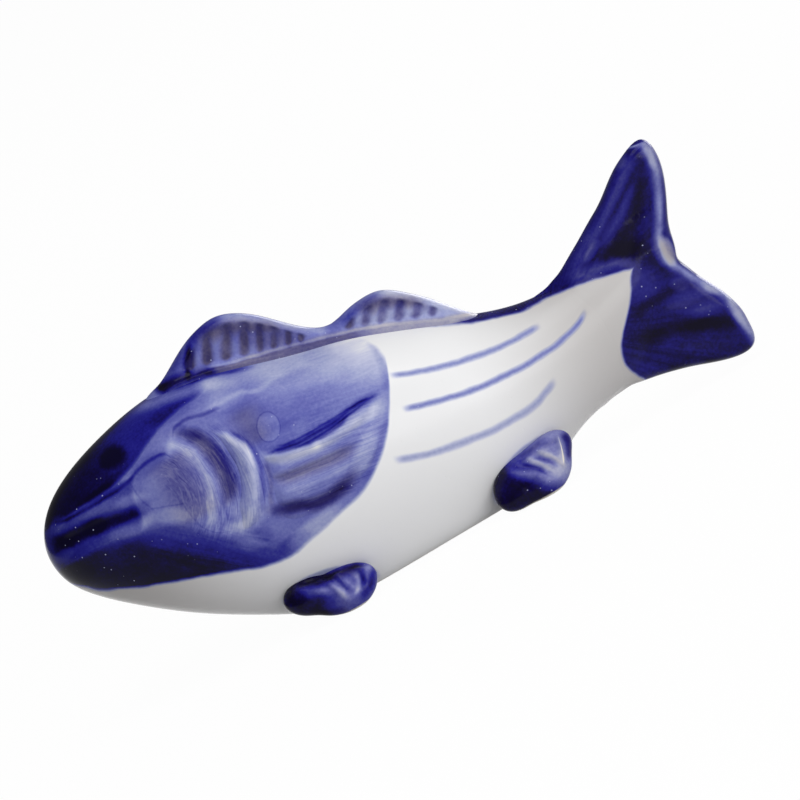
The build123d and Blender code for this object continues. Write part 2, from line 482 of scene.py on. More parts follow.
@dataclass
class TailFin:
    """Forked tail blade with fanned rays, flowing into the body at its root."""

    form: FishForm
    middle: Pair = (60.0, 11.0)
    half_thickness: float = 1.7
    rim: float = 2.0
    fillet: float = 0.7
    outline: tuple[Pair, ...] = (
        (-170, 3.4), (-148, 4.6), (-130, 6.6), (-118, 7.9), (-111, 7.95), (-105, 7.55), (-98, 7.2),
        (-89, 7.05), (-81, 7.1), (-73.7, 7.5), (-61, 8.7), (-52.6, 10.2), (-46.5, 12.1), (-42.4, 14.1),
        (-38.8, 15.9), (-36.2, 16.8), (-33.5, 17.15), (-30.2, 17.0), (-26.3, 16.5), (-22.7, 16.05),
        (-17.6, 15.2), (-10.4, 13.9), (-3.6, 12.8), (5.2, 12.05), (11.6, 11.9), (15.8, 12.45), (25.8, 14.2),
        (32.5, 16.7), (37.2, 18.7), (41.0, 20.0), (43.6, 20.6), (46.0, 20.65), (48.0, 20.0), (50.2, 18.6),
        (52.4, 17.0), (55.1, 14.5), (59.4, 12.2), (65.7, 10.2), (75.0, 8.4), (88.0, 7.02), (97.0, 6.67),
        (103.5, 6.55), (110.0, 6.63), (117, 6.88), (125, 7.2), (135, 7.2), (148, 5.6), (165, 3.8),
    )
    rays: float = 15.0
    ray_height: float = 0.07
    ray_start: Pair = (0.4, 0.7)
    ray_end: Pair = (0.8, 0.95)
    upper_root: Pair = (72.0, 118.0)
    lower_root: Pair = (-112.0, -72.0)
    tip_thinning: float = 0.18
    tip_radii: Pair = (6.0, 20.0)
    hidden_share: float = 0.25
    lap_run: Pair = (58.5, 66.0)
    lap_heights: Pair = (-0.12, 0.05)
    near_body: float = -3.0
    least_fillet: float = 0.05
    edge_round: float = 0.9
    rows: int = 180
    columns: int = 440

    def build(self) -> bpy.types.Object:
        """Fan plate with shallow rays; the thicker of blade and body, with a rounded corner between them.

        The blade thins towards its tips and, on bearings that lie inside the body, to its hidden share.
        """
        plate = FanPlate(self.outline, self.half_thickness, self.rim, self.rows, self.columns)
        share, a, b, n = plate.sheet()
        x, z = self.middle[0] + a, self.middle[1] + b
        turn = np.arctan2(b, a)
        bearing = np.degrees(turn)
        relief = self.ray_height * np.sin(turn * self.rays)
        relief = relief * ease(share, *self.ray_start) * (1.0 - ease(share, *self.ray_end))
        taper = 1.0 - self.tip_thinning * ease(np.hypot(a, b), *self.tip_radii)
        free = (1.0 - ease(bearing, *self.upper_root)) * ease(bearing, *self.lower_root)
        thin = np.abs(n)
        blade = thin * taper * (self.hidden_share + (1.0 - self.hidden_share) * free) + relief
        body = self.form.reach(x, z)
        low, high = self.lap_heights
        lap = (high - low) * ease(x, *self.lap_run) + low
        joined = soft_max(blade, body + lap, self.fillet * free + self.least_fillet)
        thick = np.where(body > self.near_body, joined, blade)
        thick = np.where(thin < self.edge_round, thick * np.sqrt(ease(thin, 0.0, self.edge_round)), thick)
        y = -np.sign(n) * np.maximum(thick, 0.0)
        return ring_mesh("tail_blade", np.stack([x, y, z], -1), relief)


@dataclass(frozen=True)
class Rib:
    """Straight ridge on a fin foot between two local points, or a groove when its height is below zero."""

    start: Pair
    end: Pair
    height: float
    width: float

    def proud(self, a: Array, b: Array) -> Array:
        """Bell about the segment: height * exp(-(distance / width)^2)."""
        run_a, run_b = self.end[0] - self.start[0], self.end[1] - self.start[1]
        off_a, off_b = a - self.start[0], b - self.start[1]
        share = np.clip((off_a * run_a + off_b * run_b) / (run_a**2 + run_b**2), 0.0, 1.0)
        away = np.hypot(off_a - share * run_a, off_b - share * run_b)
        return self.height * np.exp(-((away / self.width) ** 2))


@dataclass
class FinFoot:
    """Fin foot: a leaf-shaped plate that splays out and down to the table, with carved fingers."""

    name: str
    flank: Flank
    middle: tuple[float, float, float]
    outline: tuple[Pair, ...]
    ribs: tuple[Rib, ...]
    half_thickness: float = 1.6
    rim: float = 3.0
    splay: float = 40.0
    carved_face: Pair = (0.3, 1.2)
    table_round: float = 0.1414
    rows: int = 110
    columns: int = 200

    def build(self) -> bpy.types.Object:
        """Fan plate tilted about X, carved on its outer face and kept above the table."""
        plate = FanPlate(self.outline, self.half_thickness, self.rim, self.rows, self.columns)
        _, a, b, n = plate.sheet()
        relief = sum(rib.proud(a, b) for rib in self.ribs) * ease(n, *self.carved_face)
        n = n + relief
        tilt = math.radians(self.splay)
        y = -n * math.cos(tilt) + b * math.sin(tilt) - self.middle[1]
        z = n * math.sin(tilt) + b * math.cos(tilt) + self.middle[2]
        points = np.stack([self.middle[0] + a, y, soft_max(z, 0.0, self.table_round)], -1)
        if self.flank is Flank.RIGHT:
            points, relief = points[:, ::-1] * MIRROR, relief[:, ::-1]
        return ring_mesh(self.name, points, relief)


@dataclass
class Sprig:
    """Relief pressed on to the flank: a sheet over the skin whose border sinks into the body."""

    form: FishForm
    name: str
    flank: Flank
    sunk: float = 0.5

    def shell(self, drawn: Array, proud: Array) -> bpy.types.Object:
        """Closed shell between the relief and a level below the skin.

        Args:
            drawn: Template millimetres, shaped rows by columns by 2, the columns running to the right of
                the rows' heading.
            proud: Height of the relief above the skin at each point.

        Returns:
            The piece.
        """
        x, z = self.form.lift(drawn)
        outer = self.form.skin(x, z, proud, self.flank)
        inner = self.form.skin(x, z, np.full_like(proud, -self.sunk), self.flank)
        rings = np.concatenate([outer, inner[:, ::-1]], 1)
        relief = np.concatenate([proud, proud[:, ::-1]], 1)
        if self.flank is Flank.RIGHT:
            rings, relief = rings[:, ::-1], relief[:, ::-1]
        return ring_mesh(self.name, rings, relief)


@dataclass
class GillCover(Sprig):
    """Crescent ridge behind the cheek, with its tapers as shares of its length from the upper end."""

    height: float = 0.46
    half_width: float = 1.3
    end_width: float = 0.35
    upper_taper: Pair = (0.0, 0.3)
    lower_taper: Pair = (0.75, 1.0)
    border_sink: float = 0.12
    end_sink: float = 0.1
    rows: int = 120
    columns: int = 28
    line: tuple[Pair, ...] = (
        (226, 116), (235, 131), (241, 149), (240, 168), (234, 185), (224, 200), (211, 213), (198, 221),
    )

    def build(self) -> bpy.types.Object:
        """Ridge of height * (1 - w^2)^2 across the line, tapering to both ends."""
        run = np.linspace(0.0, 1.0, self.rows)[:, None]
        across = np.linspace(-1.0, 1.0, self.columns)[None, :]
        middle = drawn_curve(self.line, run)
        heading = unit(np.gradient(middle, axis=0))
        side = np.stack([heading[..., 1], -heading[..., 0]], -1)
        taper = ease(run, *self.upper_taper) * (1.0 - ease(run, *self.lower_taper))
        wide = self.half_width * (self.end_width + (1.0 - self.end_width) * taper)
        proud = self.height * taper * (1.0 - across**2) ** 2
        proud = proud - self.border_sink * across**4 - self.end_sink * (1.0 - taper)
        return self.shell(middle + side * (wide * across)[..., None], proud)


@dataclass
class PectoralFin(Sprig):
    """Side fin in low relief: a fan of ribs between an upper and a lower edge.

    Its border is rounded over shares of its length from the front and of its height from the top.
    """

    plateau: float = 0.24
    border_sink: float = 0.15
    front_round: Pair = (0.0, 0.16)
    rear_round: Pair = (0.72, 1.0)
    upper_round: Pair = (0.0, 0.08)
    lower_round: Pair = (0.84, 1.0)
    rows: int = 190
    columns: int = 110
    upper: tuple[Pair, ...] = (
        (252, 161), (275, 167), (300, 171), (335, 170), (365, 167), (394, 165),
    )
    lower: tuple[Pair, ...] = (
        (234, 226), (253, 240), (285, 244), (320, 239), (352, 223), (380, 196),
    )
    ribs: tuple[Crease, ...] = (
        Crease(((250, 164), (275, 174), (300, 180), (340, 182), (375, 175)), 0.34, 0.5, fade=2.0),
        Crease(((247, 191), (285, 198), (335, 202)), -0.34, 0.42, fade=2.5),
        Crease(((242, 205), (280, 213), (315, 214), (345, 207)), 0.14, 0.7, fade=2.5),
        Crease(((234, 216), (262, 226), (290, 233), (325, 229)), -0.4, 0.55, fade=2.5),
    )

    def build(self) -> bpy.types.Object:
        """Plateau with ribs and grooves, rounded down at its border."""
        run = np.linspace(0.0, 1.0, self.rows)[:, None]
        down = np.linspace(0.0, 1.0, self.columns)[None, :]
        upper, lower = drawn_curve(self.upper, run), drawn_curve(self.lower, run)
        drawn = upper * (1.0 - down[..., None]) + lower * down[..., None]
        border = ease(down, *self.upper_round) * (1.0 - ease(down, *self.lower_round))
        border = border * ease(run, *self.front_round) * (1.0 - ease(run, *self.rear_round))
        relief = self.plateau + sum(rib.proud(drawn[..., 0], drawn[..., 1]) for rib in self.ribs)
        return self.shell(drawn, (relief + self.border_sink) * border - self.border_sink)


# Finishes


Operand = "Value | float"


class Value:
    """Socket of a number in a node tree: arithmetic on it adds Math nodes."""

    def __init__(self, glaze: GlazeNodes, socket: bpy.types.NodeSocket) -> None:
        """Wraps a socket of the given tree."""
        self.glaze = glaze
        self.socket = socket

    def _math(self, operation: str, *operands: Operand) -> Value:
        """Math node of the operation on the operands."""
        inputs = dict(enumerate(operands))
        return self.glaze.node("ShaderNodeMath", {"operation": operation}, inputs)

    def __add__(self, other: Operand) -> Value:
        """Sum."""
        return self._math("ADD", self, other)

    __radd__ = __add__

    def __sub__(self, other: Operand) -> Value:
        """Difference."""
        return self._math("SUBTRACT", self, other)

    def __rsub__(self, other: Operand) -> Value:
        """Difference the other way round."""
        return self._math("SUBTRACT", other, self)

    def __mul__(self, other: Operand) -> Value:
        """Product."""
        return self._math("MULTIPLY", self, other)

    __rmul__ = __mul__

    def __abs__(self) -> Value:
        """Size without sign."""
        return self._math("ABSOLUTE", self)

    def scaled(self, factor: Operand, offset: Operand) -> Value:
        """Product with the factor, plus the offset, in one node."""
        return self._math("MULTIPLY_ADD", self, factor, offset)

    def most(self, other: Operand) -> Value:
        """Larger of the two."""
        return self._math("MAXIMUM", self, other)

    def root(self) -> Value:
        """Square root."""
        return self._math("SQRT", self)

    def bearing(self, other: Operand) -> Value:
        """Angle whose tangent is this value over the other."""
        return self._math("ARCTAN2", self, other)

    def ease(self, low: float, high: float, start: float = 0.0, end: float = 1.0) -> Value:
        """Smooth step from start at low to end at high."""
        if low > high:
            low, high, start, end = high, low, end, start
        settings = {"interpolation_type": "SMOOTHSTEP", "clamp": True}
        return self.glaze.node("ShaderNodeMapRange", settings, {0: self, 1: low, 2: high, 3: start, 4: end})


class GlazeNodes:
    """Node tree of one glazed material, with a single method that adds nodes."""

    def __init__(self, name: str) -> None:
        """Starts an empty tree with a shader and an output."""
        self.material = bpy.data.materials.new(name)
        self.material.use_nodes = True
        self.tree = self.material.node_tree
        self.tree.nodes.clear()
        self.shader = self.tree.nodes.new("ShaderNodeBsdfPrincipled")
        self.output = self.tree.nodes.new("ShaderNodeOutputMaterial")
        self.tree.links.new(self.shader.outputs[0], self.output.inputs[0])

    def node(self, kind: str, settings: dict, inputs: dict, output: int | str = 0) -> Value:
        """Adds a node.

        Args:
            kind: Node type.
            settings: Properties, and "stops" for a ramp or "bend" for a curve, set first.
            inputs: Socket name or number to a Value, number or tuple.
            output: Socket that is wrapped.

        Returns:
            The wrapped output socket.
        """
        node = self.tree.nodes.new(kind)
        for key, value in settings.items():
            if key == "stops":
                self._stops(node.color_ramp, value)
            elif key == "bend":
                self._bend(node.mapping, value)
            else:
                setattr(node, key, value)
        for key, value in inputs.items():
            self.feed(node.inputs[key], value)
        return Value(self, node.outputs[output])

    def feed(self, socket: bpy.types.NodeSocket, value: Value | float | tuple) -> None:
        """Links a Value to a socket, or sets the socket's own number."""
        if isinstance(value, Value):
            self.tree.links.new(value.socket, socket)
        else:
            socket.default_value = value

    @staticmethod
    def _stops(ramp: bpy.types.ColorRamp, stops: Sequence[tuple[float, Colour]]) -> None:
        """Sets a ramp's stops from places and linear colours."""
        while len(ramp.elements) < len(stops):
            ramp.elements.new(1.0)
        for element, (place, colour) in zip(ramp.elements, stops):
            element.position = place
            element.color = (*colour, 1.0)

    @staticmethod
    def _bend(mapping: bpy.types.CurveMapping, points: Sequence[Pair]) -> None:
        """Sets a curve's points."""
        curve = mapping.curves[0]
        while len(curve.points) < len(points):
            curve.points.new(0.5, 0.5)
        for point, location in zip(curve.points, points):
            point.location = location
        mapping.update()


def linear(red: float, green: float, blue: float) -> Colour:
    """Linear colour from display values of 0 to 255."""
    share = np.array([red, green, blue]) / 255.0
    lin = np.where(share <= 0.04045, share / 12.92, ((share + 0.055) / 1.055) ** 2.4)
    return tuple(float(c) for c in lin)


@dataclass(frozen=True)
class CobaltScale:
    """Colour of the clay as cobalt is laid on more thickly, and the tint of a brown tone over it."""

    stops: tuple[tuple[float, Colour], ...] = (
        (0.00, (243, 243, 244)),
        (0.12, (202, 205, 229)),
        (0.25, (166, 172, 211)),
        (0.40, (127, 133, 195)),
        (0.52, (97, 101, 178)),
        (0.64, (66, 69, 157)),
        (0.74, (43, 43, 148)),
        (0.82, (31, 28, 132)),
        (0.89, (21, 16, 88)),
        (0.95, (15, 9, 58)),
        (1.00, (12, 8, 41)),
    )
    umber: Colour = (262, 236, 176)


@dataclass(frozen=True)
class Stroke:
    """One pass of the brush along a line on the template, and what it adds to cobalt and brown tone.

    The points run from left to right, or from top to bottom when upright. The width lies between the
    edges at half strength, soft is how far they fade to each side, and fade does so at the two ends.
    """

    gain: float
    width: float
    soft: float
    points: tuple[Pair, ...]
    upright: bool = False
    umber: float = 0.0
    fade: float = 6.0


@dataclass(frozen=True)
class Pool:
    """Soft oval pool turned by a tilt in degrees, and what it adds to the cobalt."""

    gain: float
    place: Pair
    size: Pair
    tilt: float = 0.0


@dataclass(frozen=True)
class HairPatch:
    """Oval patch of brush hairs along a heading in degrees, and what it adds to the cobalt."""

    gain: float
    heading: float
    pitch: float
    length: float
    place: Pair
    size: Pair
    tilt: float


class Brush:
    """Cobalt strokes on the template, as masks from 0 to 1 in a material's node tree."""

    sway_scale = 420.0
    hair_detail = 2.5
    ring_bearings = 3.0

    def __init__(self, glaze: GlazeNodes, wobble: float = 1.6) -> None:
        """Reads template coordinates from the object's, with the wobble of a hand-held brush.

        Args:
            glaze: Tree that the strokes are made in.
            wobble: Wander of the strokes' edges in template units.
        """
        self.glaze = glaze
        self.place = glaze.node("ShaderNodeTexCoord", {}, {}, "Object")
        parts = [glaze.node("ShaderNodeSeparateXYZ", {}, {0: self.place}, i) for i in range(3)]
        scale = TEMPLATE_SCALE * 1000.0
        self.aside, self.height = abs(parts[1]), parts[2]
        drawn = self.height * (scale * math.cos(TEMPLATE_LEAN))
        drawn = drawn - self.aside * (scale * math.sin(TEMPLATE_LEAN))
        self.across = parts[0] * scale + (TEMPLATE_NOSE + TEMPLATE_SCALE * LENGTH / 2)
        down = TEMPLATE_TABLE - drawn
        self.relief = glaze.node("ShaderNodeAttribute", {"attribute_name": "relief"}, {}, "Fac")
        sway = self.noise(self.sway_scale) - 0.5
        self.u = self.across + sway * (2.0 * wobble)
        self.v = down - sway * (2.0 * wobble)

    def noise(self, scale: float, detail: float = 2.0) -> Value:
        """Noise of 0 to 1 over the piece, with the scale as its waves to the metre."""
        inputs = {"Vector": self.place, "Scale": scale, "Detail": detail}
        return self.glaze.node("ShaderNodeTexNoise", {}, inputs, "Fac")

    def path(self, run: Value, points: Sequence[Pair]) -> Value:
        """Curve through points as a function of run, straight on past its ends."""
        place, value = np.asarray(points, float).T
        low, high = value.min() - 1.0, value.max() + 1.0
        start, reach = float(place[0]), float(place[-1] - place[0])
        bend = np.stack([(place - start) / reach, (value - low) / (high - low)], -1).tolist()
        along = run.scaled(1.0 / reach, -start / reach)
        curve = self.glaze.node("ShaderNodeFloatCurve", {"bend": bend}, {"Value": along})
        return curve.scaled(high - low, low)

    def stroke(self, mark: Stroke) -> Value:
        """Mask of a stroke: 1 along its middle, eased to 0 over its edges and its two ends."""
        points = [(v, u) for u, v in mark.points] if mark.upright else mark.points
        run, off = (self.v, self.u) if mark.upright else (self.u, self.v)
        away = abs(off - self.path(run, points))
        start, end = points[0][0], points[-1][0]
        middle, half = (start + end) / 2, (end - start) / 2
        length = abs(run - middle).ease(half + mark.fade, half - mark.fade)
        edge = mark.width / 2
        return length * away.ease(edge + mark.soft, max(edge - mark.soft, 0.0))

    def pool(self, place: Pair, size: Pair, tilt: float = 0.0) -> Value:
        """Mask of an oval about a place, turned by tilt degrees: 1 in its middle, eased to 0 at its edge."""
        c, s = math.cos(math.radians(tilt)), math.sin(math.radians(tilt))
        along = self.offset(place, (c / size[0], s / size[0]))
        over = self.offset(place, (-s / size[1], c / size[1]))
        return along.scaled(along, over * over).ease(1.0, 0.0)

    def offset(self, place: Pair, heading: Pair) -> Value:
        """Distance from a place along a heading, as (u, v) from the place times the heading."""
        level = -heading[0] * place[0] - heading[1] * place[1]
        return self.u.scaled(heading[0], self.v.scaled(heading[1], level))

    def lay(self, strokes: Sequence[Stroke], pools: Sequence[Pool] = ()) -> tuple[Value, Value]:
        """Adds up strokes and pools.

        Args:
            strokes: Strokes to lay.
            pools: Pools to lay.

        Returns:
            What they add to the cobalt, and the largest brown tone among them.
        """
        added, umber = self.u * 0.0, self.u * 0.0
        for mark in strokes:
            mask = self.stroke(mark)
            added = mask.scaled(mark.gain, added)
            if mark.umber:
                umber = umber.most(mask * mark.umber)
        for spot in pools:
            added = self.pool(spot.place, spot.size, spot.tilt).scaled(spot.gain, added)
        return added, umber

    def rings(self, place: Pair, pitch: float) -> Value:
        """Brush hairs that turn about a place: noise over distance and bearing, from -0.5 to 0.5."""
        du, dv = self.u - place[0], self.v - place[1]
        away = (du * du + dv * dv).root() * (1.0 / pitch)
        return self._strands(away, dv.bearing(du) * self.ring_bearings, 1.2)

    def hairs(self, heading: float, pitch: float, length: float) -> Value:
        """Brush hairs along a heading in degrees: noise from -0.5 to 0.5, drawn out from pitch to length."""
        c, s = math.cos(math.radians(heading)), math.sin(math.radians(heading))
        along = self.u * (c / length) + self.v * (s / length)
        off = self.v * (c / pitch) - self.u * (s / pitch)
        return self._strands(along, off, 1.0)

    def _strands(self, first: Value, second: Value, distortion: float) -> Value:
        """Noise from -0.5 to 0.5 over two coordinates in which a brush hair is one unit."""
        lane = self.glaze.node("ShaderNodeCombineXYZ", {}, {0: first, 1: second})
        inputs = {"Vector": lane, "Scale": 1.0, "Detail": self.hair_detail, "Distortion": distortion}
        return self.glaze.node("ShaderNodeTexNoise", {"noise_dimensions": "2D"}, inputs, "Fac") - 0.5

    def patch(self, patch: HairPatch) -> Value:
        """Brush hairs within an oval, times their gain."""
        oval = (patch.place, patch.size, patch.tilt)
        hairs = self.hairs(patch.heading, patch.pitch, patch.length)
        return hairs * self.pool(*oval).ease(0.0, 0.5) * patch.gain

    def streaks(self, stretch: tuple[float, float, float], scale: float, detail: float = 3.0) -> Value:
        """Uneven colour: noise from -0.5 to 0.5 on coordinates times the stretch along X, Y and Z."""
        place = self.glaze.node("ShaderNodeMapping", {}, {"Vector": self.place, "Scale": stretch})
        inputs = {"Vector": place, "Scale": scale, "Detail": detail}
        return self.glaze.node("ShaderNodeTexNoise", {}, inputs, "Fac") - 0.5


@dataclass(frozen=True)
class GlazeFinish:
    """Clear glossy glaze over painted clay, with painted shade greying it towards tail and nose, with
    pinholes and a bare base.

    A span is the pair of values between which an effect grows: of cobalt for the grain and for the
    pinholes' colour, of height in metres for the bare base, of template places for the painted shade
    towards tail and nose, of distance in a cell for pinholes, and of noise for their clusters.
    """

    roughness: float = 0.14
    bare_roughness: float = 0.5
    ripple_roughness: float = 0.05
    specular: float = 0.09
    grain: float = 0.07
    grain_scale: float = 3200.0
    grain_span: Pair = (0.04, 0.3)
    ripple: float = 0.00002
    ripple_scale: float = 260.0
    pinhole_pitch: float = 0.001
    pinhole_depth: float = 0.8
    pinhole_span: Pair = (0.1, 0.04)
    pinhole_colour_span: Pair = (0.1, 0.5)
    cluster_scale: float = 140.0
    cluster_span: Pair = (0.46, 0.6)
    scale: CobaltScale = CobaltScale()
    # Grey multiplied into the white as painted shade towards the tail, the nose and the chin.
    painted_shade_grey: Colour = (207, 204, 202)
    pinhole: Colour = (172, 177, 214)
    bare_clay: Colour = (226, 220, 210)
    bare_span: Pair = (0.00035, 0.00015)
    tail_shade_span: Pair = (455.0, 620.0)
    nose_shade_span: Pair = (240.0, 60.0)

    def coat(self, brush: Brush, cobalt: Value, umber: Value) -> bpy.types.Material:
        """Finishes a material from its thickness of cobalt.

        Args:
            brush: Brush of the material.
            cobalt: Thickness of the cobalt, 0 to 1.
            umber: Share of the brown tone, where cobalt pools in a groove and where shade and a grey
                reflection are painted.

        Returns:
            The material.
        """
        glaze = brush.glaze
        stops = [(place, linear(*colour)) for place, colour in self.scale.stops]
        hole = self.pinholes(brush)
        grain = brush.noise(self.grain_scale, 3.0) - 0.5
        cobalt = cobalt + grain * cobalt.ease(*self.grain_span) * (2.0 * self.grain)
        colour = glaze.node("ShaderNodeValToRGB", {"stops": stops}, {0: cobalt})
        colour = self.blend(glaze, umber, colour, self.scale.umber, "MULTIPLY")
        # Painted shade: the white greys towards the tail and towards nose and chin, less where cobalt lies
        # thick.
        thick = brush.across.ease(*self.tail_shade_span).most(brush.across.ease(*self.nose_shade_span))
        thick = thick * cobalt.ease(0.3, 0.05, 0.3, 1.0)
        colour = self.blend(glaze, thick, colour, self.painted_shade_grey, "MULTIPLY")
        colour = self.blend(glaze, hole * cobalt.ease(*self.pinhole_colour_span), colour, self.pinhole)
        bare = brush.height.ease(*self.bare_span)
        colour = self.blend(glaze, bare, colour, self.bare_clay)
        wave = brush.noise(self.ripple_scale) - hole * self.pinhole_depth
        bump = glaze.node("ShaderNodeBump", {}, {"Strength": 1.0, "Distance": self.ripple, "Height": wave})
        glaze.feed(glaze.shader.inputs["Base Color"], colour)
        roughness = bare * self.bare_roughness + wave * self.ripple_roughness + self.roughness
        glaze.feed(glaze.shader.inputs["Roughness"], roughness)
        glaze.feed(glaze.shader.inputs["Specular IOR Level"], self.specular)
        glaze.feed(glaze.shader.inputs["Normal"], bump)
        return glaze.material

    def pinholes(self, brush: Brush) -> Value:
        """Scattered pinholes in the glaze: small discs in some cells of a Voronoi pattern."""
        cluster = brush.noise(self.cluster_scale)
        cells = {"Vector": brush.place, "Scale": 1.0 / self.pinhole_pitch}
        disc = brush.glaze.node("ShaderNodeTexVoronoi", {}, cells, "Distance").ease(*self.pinhole_span)
        return disc * cluster.ease(*self.cluster_span)

    @staticmethod
    def blend(glaze: GlazeNodes, share: Value, colour: Value, other: Colour, mode: str = "MIX") -> Value:
        """Mixes or multiplies a fixed display colour into another by share."""
        settings = {"data_type": "RGBA", "blend_type": mode}
        return glaze.node("ShaderNodeMix", settings, {0: share, 6: colour, 7: (*linear(*other), 1.0)}, 2)


@dataclass(frozen=True)
class TailWash:
    """Deep cobalt of the tail and of the band along the back that leads to it."""

    band_edge: tuple[Pair, ...] = (
        (495, 152), (512, 157), (530, 163), (550, 168), (590, 170.5), (650, 182), (674, 189),
    )
    root_edge: tuple[Pair, ...] = (
        (183, 672), (193, 662), (205, 655), (215, 648), (227, 637), (240, 625), (252, 617), (265, 614),
        (278, 617), (290, 625), (300, 633),
    )
    rim_crease: tuple[Pair, ...] = (
        (82, 728), (92, 735), (105, 733), (120, 729), (135, 723), (150, 715), (165, 706), (178, 698),
        (190, 696), (202, 700), (212, 705), (222, 710), (232, 716), (242, 721), (252, 727), (264, 731),
        (290, 733), (312, 736),
    )
    fan_middle: Pair = (560.0, 200.0)
    edge_soft: float = 2.5
    ground: float = 0.86
    brown: float = 0.4
    pools: tuple[Pool, ...] = (
        # The pools at the notch, (707, 188) and (714, 174), are a painted grey reflection; those along the
        # trailing edges, (741, 101), (740, 276), (727, 243) and (701, 224), are painted highlights.
        Pool(-1.10, (707, 188), (9, 20), 4),
        Pool(-0.45, (741, 101), (9, 30), 6),
        Pool(-0.50, (740, 276), (10, 32)),
        Pool(-0.30, (727, 243), (7, 15), -30),
        Pool(-0.18, (701, 224), (13, 9), 30),
        Pool(-0.14, (710, 88), (12, 8), -40),
        Pool(-0.18, (640, 152), (16, 6), -28),
        Pool(-0.12, (714, 174), (8, 12)),
    )
    strokes: tuple[Stroke, ...] = (
        # Upper lobe
        Stroke(-0.16, 10, 9, ((612, 158), (650, 138), (690, 112), (720, 92)), fade=20.0),
        Stroke(0.08, 6, 5, ((636, 157), (665, 138), (700, 115), (718, 100)), fade=16.0),
        Stroke(-0.15, 8, 7, ((655, 148), (680, 136), (700, 122)), fade=16.0),
        Stroke(0.10, 13, 10, ((650, 163), (680, 153), (705, 133), (722, 108)), fade=20.0),
        Stroke(0.15, 12, 9, ((656, 166), (670, 168), (690, 170)), umber=0.2, fade=14.0),
        # Root and notch
        Stroke(-0.22, 8, 7, ((612, 166), (645, 171), (664, 177)), fade=14.0),
        Stroke(0.05, 13, 10, ((676, 186), (692, 190), (706, 206)), fade=12.0),
        Stroke(-0.11, 22, 16, ((652, 205), (680, 205)), fade=16.0),
        # Lower lobe
        Stroke(0.08, 7, 6, ((645, 228), (680, 225), (714, 228)), umber=0.3, fade=16.0),
        Stroke(-0.16, 10, 8, ((690, 233), (726, 243)), fade=14.0),
        Stroke(0.09, 10, 8, ((634, 252), (660, 256), (690, 264), (708, 272)), umber=0.2, fade=20.0),
        Stroke(0.12, 12, 9, ((694, 268), (715, 275), (732, 284)), fade=14.0),
        Stroke(-0.18, 9, 8, ((694, 252), (722, 262)), fade=14.0),
        Stroke(0.05, 16, 14, ((650, 292), (690, 302), (725, 308)), fade=20.0),
        # Brown tint of the painted grey reflection in the notch
        Stroke(0.0, 26, 10, ((696, 176), (712, 200)), umber=0.3),
    )

    def lay(self, brush: Brush) -> tuple[Value, Value]:
        """Lays the wash, with brush hairs on bearings from the fan's middle and a pale line at the rim, a
        painted highlight.

        Args:
            brush: Brush of the material.

        Returns:
            Thickness of cobalt, and share of brown tone.
        """
        u, v, soft = brush.u, brush.v, self.edge_soft
        band = (v - brush.path(u, self.band_edge)).ease(soft, -soft) * (u - v * 2.0).ease(188.0, 202.0)
        blade = (u - brush.path(v, self.root_edge)).ease(-soft, soft) * v.ease(178.0, 186.0)
        wash = band.most(blade).most(u.ease(668.0, 674.0))
        past = u - brush.path(v, self.rim_crease)
        rim = past.ease(-6.0, 6.0)
        clouds = brush.streaks((1.0, 1.0, 1.0), 420.0)
        # Painted highlight: a pale band along the trailing edges, just inside the rim.
        pale = rim * past.ease(13.0, 5.0) * (clouds * 1.6 + 1.0)
        added, umber = brush.lay(self.strokes, self.pools)
        fan = (v - self.fan_middle[1]).bearing(u - self.fan_middle[0])
        noise = {"W": fan * 4.0, "Detail": 3.0}
        hairs = brush.glaze.node("ShaderNodeTexNoise", {"noise_dimensions": "1D"}, noise, "Fac") - 0.5
        cobalt = self.ground + hairs * 0.11 + clouds * 0.16 + added * (1.0 - rim * 0.6)
        cobalt = cobalt - pale * 0.4 - rim * 0.04 - brush.relief * 0.2
        return cobalt * wash, (umber + self.brown) * (1.0 - pale * 0.8) * wash


